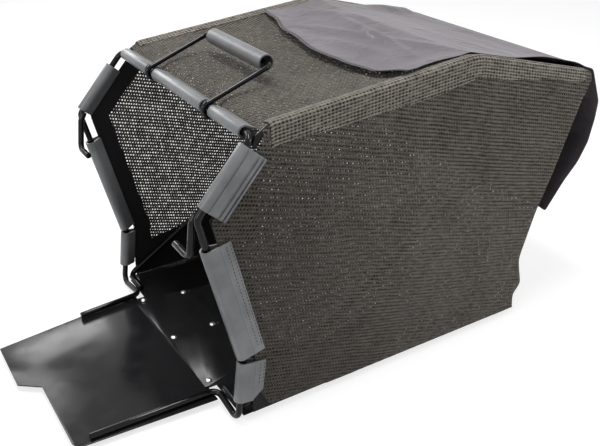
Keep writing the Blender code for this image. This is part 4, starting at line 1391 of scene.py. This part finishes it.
@dataclass
class DustCover:
    """The thin nylon cover over the rear of the top, which hangs down behind."""

    half: float = 164.0
    rear_half: float = 177.0
    reach: float = 400.0
    front_edge: tuple[Pair, ...] = (
        (-165.0, 205.0), (-136.0, 200.0), (-60.0, 180.0), (33.0, 166.0),
        (90.0, 168.0), (135.0, 174.0), (165.0, 193.0),
    )
    over: float = 4.6
    hem_r: float = 7.2
    fall: tuple[Pair, ...] = (
        (500.0, 302.0), (510.0, 280.0), (509.0, 255.0), (503.0, 226.0),
        (488.0, 200.0), (466.0, 178.0), (437.0, 141.0),
    )
    folds: tuple[tuple[Pair, Pair, float, float], ...] = (
        ((-110.0, 272.0), (150.0, 238.0), 6.5, 6.5),
        ((-90.0, 205.0), (60.0, 262.0), 4.0, 7.0),
        ((-20.0, 200.0), (105.0, 225.0), 4.5, 8.0),
        ((40.0, 250.0), (150.0, 290.0), 3.5, 8.0),
        ((-150.0, 240.0), (-20.0, 300.0), 3.0, 12.0),
        ((-20.0, 330.0), (140.0, 400.0), 2.2, 16.0),
        ((-130.0, 380.0), (40.0, 340.0), 2.2, 14.0),
    )
    flutes: tuple[Pair, ...] = ((-120.0, 26.0), (-52.0, 20.0), (18.0, 30.0), (88.0, 18.0), (140.0, 22.0))
    flute_depth: float = 5.0
    flap_rise: float = 4.5
    gape_rise: float = 7.0
    lip_rise: float = 1.2
    flare: float = 8.0
    slack: float = 0.012
    cap: float = 3.5
    cut: Pair = (0.36, 0.53)

    def front(self, x: float) -> float:
        """How far back the front edge lies at x."""
        for (x0, y0), (x1, y1) in zip(self.front_edge, self.front_edge[1:]):
            if x <= x1:
                return y0 + (y1 - y0) * smooth_step(x0, x1, x)
        return self.front_edge[-1][1]

    def line(self) -> list[Pair]:
        """The cover's side line as (Y, Z), from the ridge back and down."""
        hem = arc(self.hem_r, range(95, 14, -20), REAR_BAR)
        before = REAR_BAR[0] - 17.0
        start = (RIDGE[0], RIDGE[1] + self.over)
        return [start, (before, height_on(RIDGE, REAR_BAR, before) + self.over), *hem, *self.fall]

    def crease(self, x: float, far: float) -> float:
        """How high the soft folds stand at a place on the cloth."""
        point = Vector((x, far))
        height = 0.0
        for start, end, rise, width in self.folds:
            first, run = Vector(start), Vector(end) - Vector(start)
            share = min(1.0, max(0.0, (point - first).dot(run) / run.length_squared))
            off = (point - first - run * share).length / width
            height += rise * math.exp(-off * off) * math.sin(math.pi * min(0.97, max(0.03, share)))
        return height

    def shape(self, across: float, back: float) -> Laid:
        """The place of a cover point and its place on the cloth."""
        flat_x = self.half * (2 * across - 1)
        front = self.front(flat_x)
        lead = RIDGE[0] - front
        total = lead + self.reach
        far = back * total
        if far < lead:
            y = front + far
            z = height_on(LOOP_FRONT, RIDGE, y) + self.over
        else:
            y, z = along_line(self.line(), (far - lead) / self.reach)
        near = smooth_step(self.half - 34.0, self.half, flat_x)
        rim = smooth_step(self.half - 24.0, self.half, abs(flat_x))
        flap = near * (1 - smooth_step(RIDGE[0] - 50.0, RIDGE[0] + 10.0, y))
        gape = rim * smooth_step(350.0, 420.0, y) * (1 - smooth_step(REAR_BAR[0] - 25.0, REAR_BAR[0], y))
        lip = 1 - smooth_step(0.0, 12.0, far)
        lift = self.crease(flat_x, far + front) + self.flap_rise * flap
        lift += self.gape_rise * gape
        lift += self.lip_rise * lip
        hang = smooth_step(REAR_BAR[1] - 10.0, REAR_BAR[1] - 90.0, z) if y > REAR_BAR[0] - 80.0 else 0.0
        wide = smooth_step(REAR_BAR[0] - 70.0, REAR_BAR[0], y) if z > 200.0 else 1.0
        x = flat_x * (1 + (self.rear_half / self.half - 1) * wide)
        x += self.flare * near * (1 - smooth_step(0.0, 36.0, far))
        waves = sum(self.flute_depth * math.exp(-(((flat_x - at) / width) ** 2)) for at, width in self.flutes)
        y += hang * (waves - self.flute_depth)
        return spot(x, y, z + lift * (1 - hang)), (flat_x, far + front)

    def hold(self, place: Vector) -> float:
        """How firmly a point of the cover is held: along the rear bar and, less, at its edges."""
        x, y, z = drawn_place(place)
        rear = 1 - smooth_step(8.0, 30.0, (Vector((y, z)) - Vector(REAR_BAR)).length)
        sides = smooth_step(self.half - 26.0, self.half - 8.0, abs(x)) if y > RIDGE[0] else 0.0
        front = 0.6 * (1 - smooth_step(6.0, 24.0, y - self.front(x))) if y < RIDGE[0] else 0.0
        return min(1.0, max(rear, sides, front))

    def binding(self) -> Piece:
        """The dark tape bound over the front edge."""

        def shape(along: float, around: float) -> Laid:
            """The place of a tape point, by its shares of the length and of the girth."""
            place, flat = self.shape(along, 0.0)
            turn = 2 * math.pi * around
            offset = Vector((0, 2.6 * math.cos(turn) + 1.6, 0.9 * math.sin(turn)))
            return place + offset * MM, (flat[0], 8.0 * around)

        piece = cloth_panel("cover_binding", (60, 10), shape)
        close_seam(piece)
        return dress(piece, BINDING, Slot.NYLON, Body.FRAME, smooth=80.0)

    def build(self) -> None:
        """Makes the cover and its bound edge."""
        cover = cloth_panel("cover_sheet", (72, 96), self.shape)
        settle(cover, self.hold, self.slack, self.cap)
        apply_modifier(cover, "SUBSURF", levels=1, render_levels=1, uv_smooth="NONE")
        area = flat_area(cover)
        apply_modifier(cover, "SOLIDIFY", thickness=0.5 * MM, offset=0.0)
        dress(cover, COVER_NYLON, Slot.NYLON, Body.FRAME, "dust_cover", smooth=60.0)
        self.binding()


@dataclass
class Studio:
    """The pale floor, the soft lights, the white world and the photograph's camera."""

    focal: float = 50.217
    shift: Pair = (-0.030, -0.0432)
    azimuth: float = 57.85
    elevation: float = 25.94
    roll: float = -0.33
    eye: Triple = (856.9, -350.5, 646.3)
    ambient: float = 0.32
    wash: float = 0.6

    def camera(self) -> None:
        """Stands the camera where the photograph was taken."""
        a, e, r = (math.radians(v) for v in (self.azimuth, self.elevation, self.roll))
        back = Vector((math.sin(a) * math.cos(e), -math.cos(a) * math.cos(e), math.sin(e)))
        right = (-back).cross(Vector((0, 0, 1))).normalized()
        up = right.cross(-back).normalized()
        tilted_right = right * math.cos(r) + up * math.sin(r)
        tilted_up = up * math.cos(r) - right * math.sin(r)
        turn = Matrix((tilted_right, tilted_up, back)).transposed().to_4x4()
        data = bpy.data.cameras.new("camera")
        data.lens = self.focal
        data.sensor_width = 36.0
        data.shift_x, data.shift_y = self.shift
        data.clip_start = 0.01
        camera = bpy.data.objects.new("camera", data)
        bpy.context.scene.collection.objects.link(camera)
        camera.matrix_world = Matrix.Translation(spot(*self.eye)) @ turn
        bpy.context.scene.camera = camera

    def floor(self) -> None:
        """A wide pale floor."""
        piece = begin("studio_floor", bpy.ops.mesh.primitive_plane_add, size=12.0, location=(0, 0, -0.0005))
        bpy.ops.object.mode_set(mode="OBJECT")
        made = bpy.data.materials.new("studio_floor")
        made.use_nodes = True
        tree = made.node_tree
        shader = tree.nodes["Principled BSDF"]
        shader.inputs["Base Color"].default_value = (0.9, 0.9, 0.9, 1.0)
        shader.inputs["Roughness"].default_value = 0.9
        glow = tree.nodes.new("ShaderNodeEmission")
        glow.inputs["Strength"].default_value = 1.2
        seen = self.seen(tree) * self.wash
        blend = tree.nodes.new("ShaderNodeMixShader")
        tree.links.new(seen.socket, blend.inputs[0])
        tree.links.new(shader.outputs[0], blend.inputs[1])
        tree.links.new(glow.outputs[0], blend.inputs[2])
        tree.links.new(blend.outputs[0], tree.nodes["Material Output"].inputs["Surface"])
        piece.data.materials.append(made)

    def seen(self, tree: Tree) -> Wire:
        """1 for what the camera sees, straight, in gloss or through glass, and 0 for light on things."""
        path = tree.nodes.new("ShaderNodeLightPath")
        total = Wire(tree, path.outputs["Is Camera Ray"])
        for name in ("Is Glossy Ray", "Is Transmission Ray"):
            total = total.math("MAXIMUM", Wire(tree, path.outputs[name]))
        return total

    def lamp(self, name: str, place: Triple, size: Pair, power: float) -> None:
        """A soft light that faces the object."""
        data = bpy.data.lights.new(name, "AREA")
        data.shape = "RECTANGLE"
        data.size, data.size_y = size
        data.energy = power
        lamp = bpy.data.objects.new(name, data)
        bpy.context.scene.collection.objects.link(lamp)
        lamp.location = place
        aim = Vector((0, 0, 0.15)) - Vector(place)
        lamp.rotation_euler = aim.to_track_quat("-Z", "Y").to_euler()

    def world(self) -> None:
        """White to the camera and in reflections, and a soft fill for the rest."""
        made = bpy.data.worlds.new("studio")
        bpy.context.scene.world = made
        made.use_nodes = True
        tree = made.node_tree
        strength = self.seen(tree) * (1.0 - self.ambient) + self.ambient
        tree.links.new(strength.socket, tree.nodes["Background"].inputs["Strength"])
        tree.nodes["Background"].inputs["Color"].default_value = (1.0, 1.0, 1.0, 1.0)

    def build(self) -> None:
        """Sets up the studio."""
        self.camera()
        self.floor()
        self.lamp("key", (-1.35, -0.75, 1.35), (0.6, 0.6), 7.0)
        self.lamp("low", (-1.9, -0.2, 0.92), (0.7, 0.55), 6.5)
        self.lamp("top", (0.0, -0.2, 2.0), (1.2, 0.45), 28.0)
        self.lamp("fill", (1.05, 0.9, 1.0), (0.6, 0.6), 9.0)
        self.lamp("front", (0.2, -1.7, 0.9), (0.5, 0.5), 6.5)
        self.world()
        bpy.context.scene.view_settings.view_transform = "Standard"


def main() -> None:
    """Builds the studio and dresses every piece in order."""
    logging.basicConfig(level=logging.INFO, format="%(name)s: %(message)s")
    for kind in (Studio, RodWork, Chute, EdgeClips, Handle, MeshBag, RidgeBands, Liners, DustCover):
        kind().build()
        log.info("%s is done", kind.__name__)


if __name__ == "__main__":
    main()
